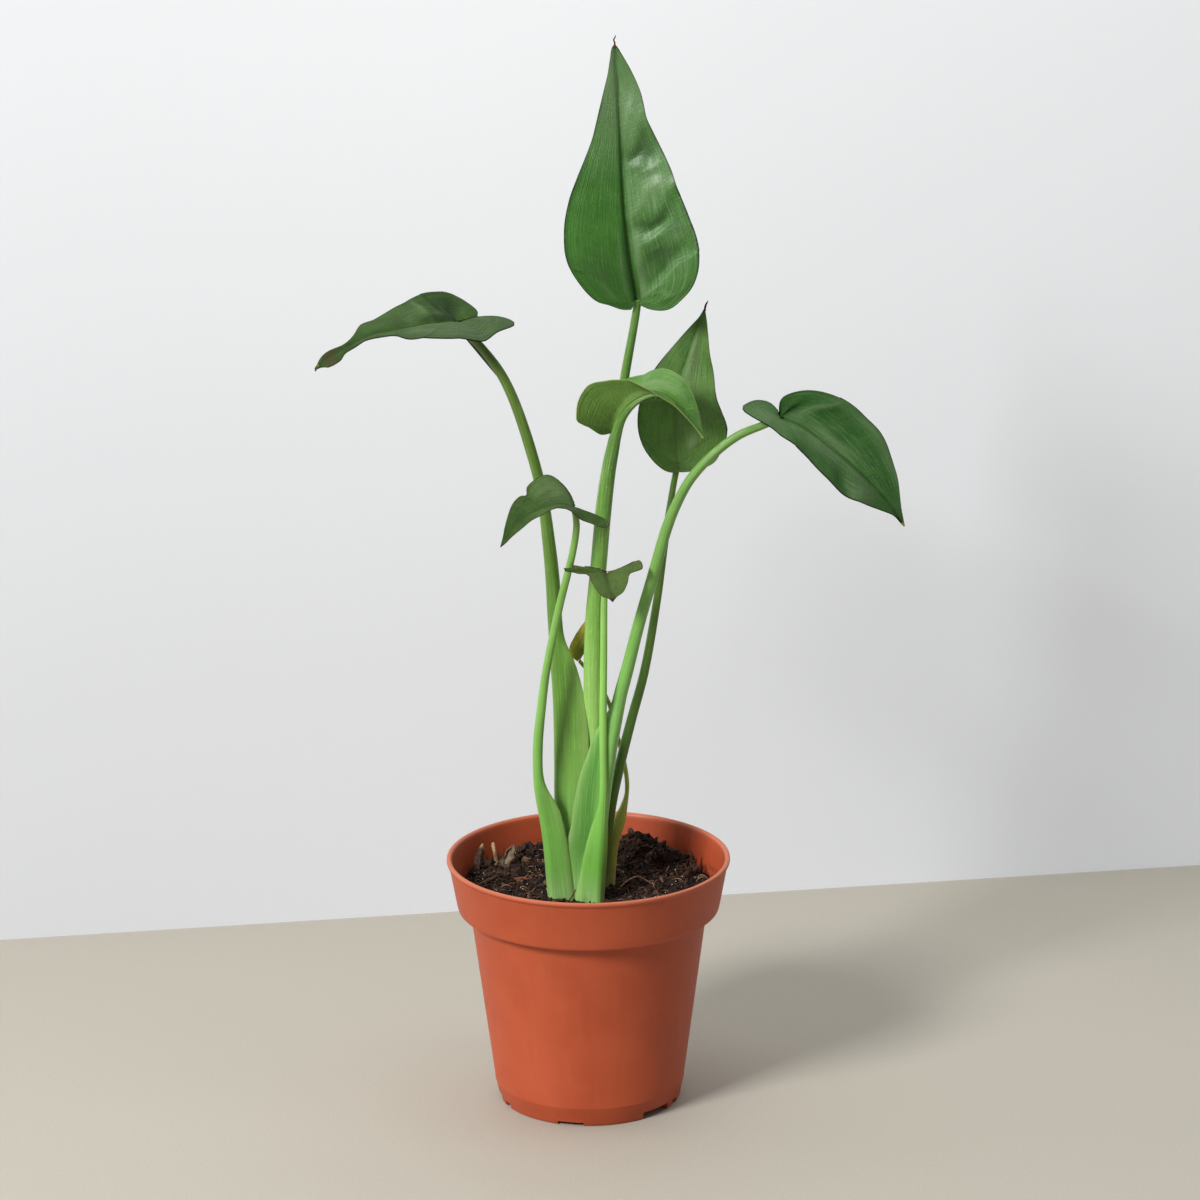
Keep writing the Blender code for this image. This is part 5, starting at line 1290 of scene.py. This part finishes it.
grow_twig("root_loop_pale", "root_thread", pale_root, [
    (12.5, 4, 0.4, 0.28), (17, 8.5, 2.4, 0.3), (21, 11, 2.6, 0.28), (25.5, 9, 1.0, 0.24), (28, 5, 0.3, 0.2)],
    seed=6.4, sides=8)
grow_twig("top_hair", "leaf_top", dark_wood, [
    (12.4, 12.5, 446.9, 0.45), (12.6, 12.5, 449.2, 0.36), (12.2, 12.5, 450.4, 0.3), (12.7, 12.5, 451.4, 0.24),
    (13.0, 12.5, 452.3, 0.14)], seed=1.3, sides=8, on_soil=False)
grow_twig("back_hair", "leaf_back", dark_wood, [
    (49.3, 20, 337.6, 0.5), (49.7, 20, 339.6, 0.4), (50.3, 20, 341.0, 0.28), (50.7, 20, 341.8, 0.18)],
    seed=1.9, sides=8, on_soil=False)
grow_twig("lying_twig_dark", "woody_stub", dark_wood, [
    (-48, 2, 0.6, 0.7), (-43, 5.5, 1.2, 0.8), (-38.6, 9.5, 0.9, 0.6)], seed=8.8)
grow_twig("lying_twig_red", "woody_stub", red_wood, [
    (-32.4, 9.8, 0.8, 0.5), (-28.6, 9.4, 1.2, 0.55), (-24.8, 9.0, 0.8, 0.4)], seed=9.3)

# %% [markdown]
# The dry flake is a curled scrap of dead leaf, a small grid bent along and across and given a thin wall.

# %% Dry flake
FLAKE_ROWS, FLAKE_COLUMNS, FLAKE_HALF, FLAKE_THICK = 22, 14, 2.7, 0.35
FLAKE_FOOT, FLAKE_LEAN = np.array([-37, 23, soil_height(-37, 23)]), np.array([4.2, 4.0, 9.2])
flake, row, column = sheet_of_cells("dry_flake_scrap", FLAKE_ROWS, FLAKE_COLUMNS)
share, over = row / FLAKE_ROWS, column / (FLAKE_COLUMNS / 2) - 1
half = FLAKE_HALF * np.sin(math.pi * (0.16 + 0.74 * share)) * (1 + 0.15 * np.sin(share * 17))
points = FLAKE_FOOT + FLAKE_LEAN * share[:, None]
points += np.stack([half * over, -1.4 * over ** 2 + 0.3 * np.sin(over * 7 + share * 5),
                    0.6 * over + 0.3 * np.sin(share * 9)], 1)
set_points(flake, to_scene(points))
solid = flake.modifiers.new("thickness", "SOLIDIFY")
solid.thickness, solid.offset = FLAKE_THICK * MM, 0.0
apply_modifiers(flake)
dress(flake, wood_skin("dry_flake_skin", (84, 68, 54), (140, 122, 100)))
settle(flake, "dry_flake", smooth=60)

# %% [markdown]
# The corm sits under the soil and carries every stalk. Only its shoulders are ever near the surface: a
# squat brown body with ring scars, modelled ring by ring as the pot is.

# %% Corm
CORM_RINGS = [(7.9, 70.0), (10.5, 71.0), (12.6, 74.0), (14.6, 78.0), (16.1, 82.0), (16.3, 83.2), (16.6, 85.0),
              (16.2, 86.6), (14.6, 88.2), (12.0, 89.2)]
CORM_SIDES, CORM_FLAT, CORM_AT = 64, 16.5 / 17.5, np.array([-2.0, -0.5, 0])
corm = ring_by_ring("corm_body", CORM_RINGS, CORM_SIDES)
shape = get_points(corm) - np.array(AXIS)
shape[:, 1] *= CORM_FLAT                    # a little narrower from front to back
set_points(corm, shape + np.array(AXIS) + CORM_AT * MM)
corm_skin = Finish("corm_brown_skin", roughness=0.85, specular=0.25)
scar = corm_skin.grain(corm_skin.place(160.0, 160.0, 900.0), detail=4.0)
corm_colour = corm_skin.coats((78, 52, 36), (corm_skin.between(scar, 0.35, 0.65), (126, 92, 64)))
dress(corm, corm_skin.finish(corm_colour, None, corm_skin.relief(scar, 0.4)))
settle(corm, "corm", smooth=50)

# %% [markdown]
# Last, the bounds of the finished plant are printed in millimetres.

# %% The plant's size
low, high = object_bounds()
print("visual ", [round(v * 1000, 1) for v in (*low, *high)])
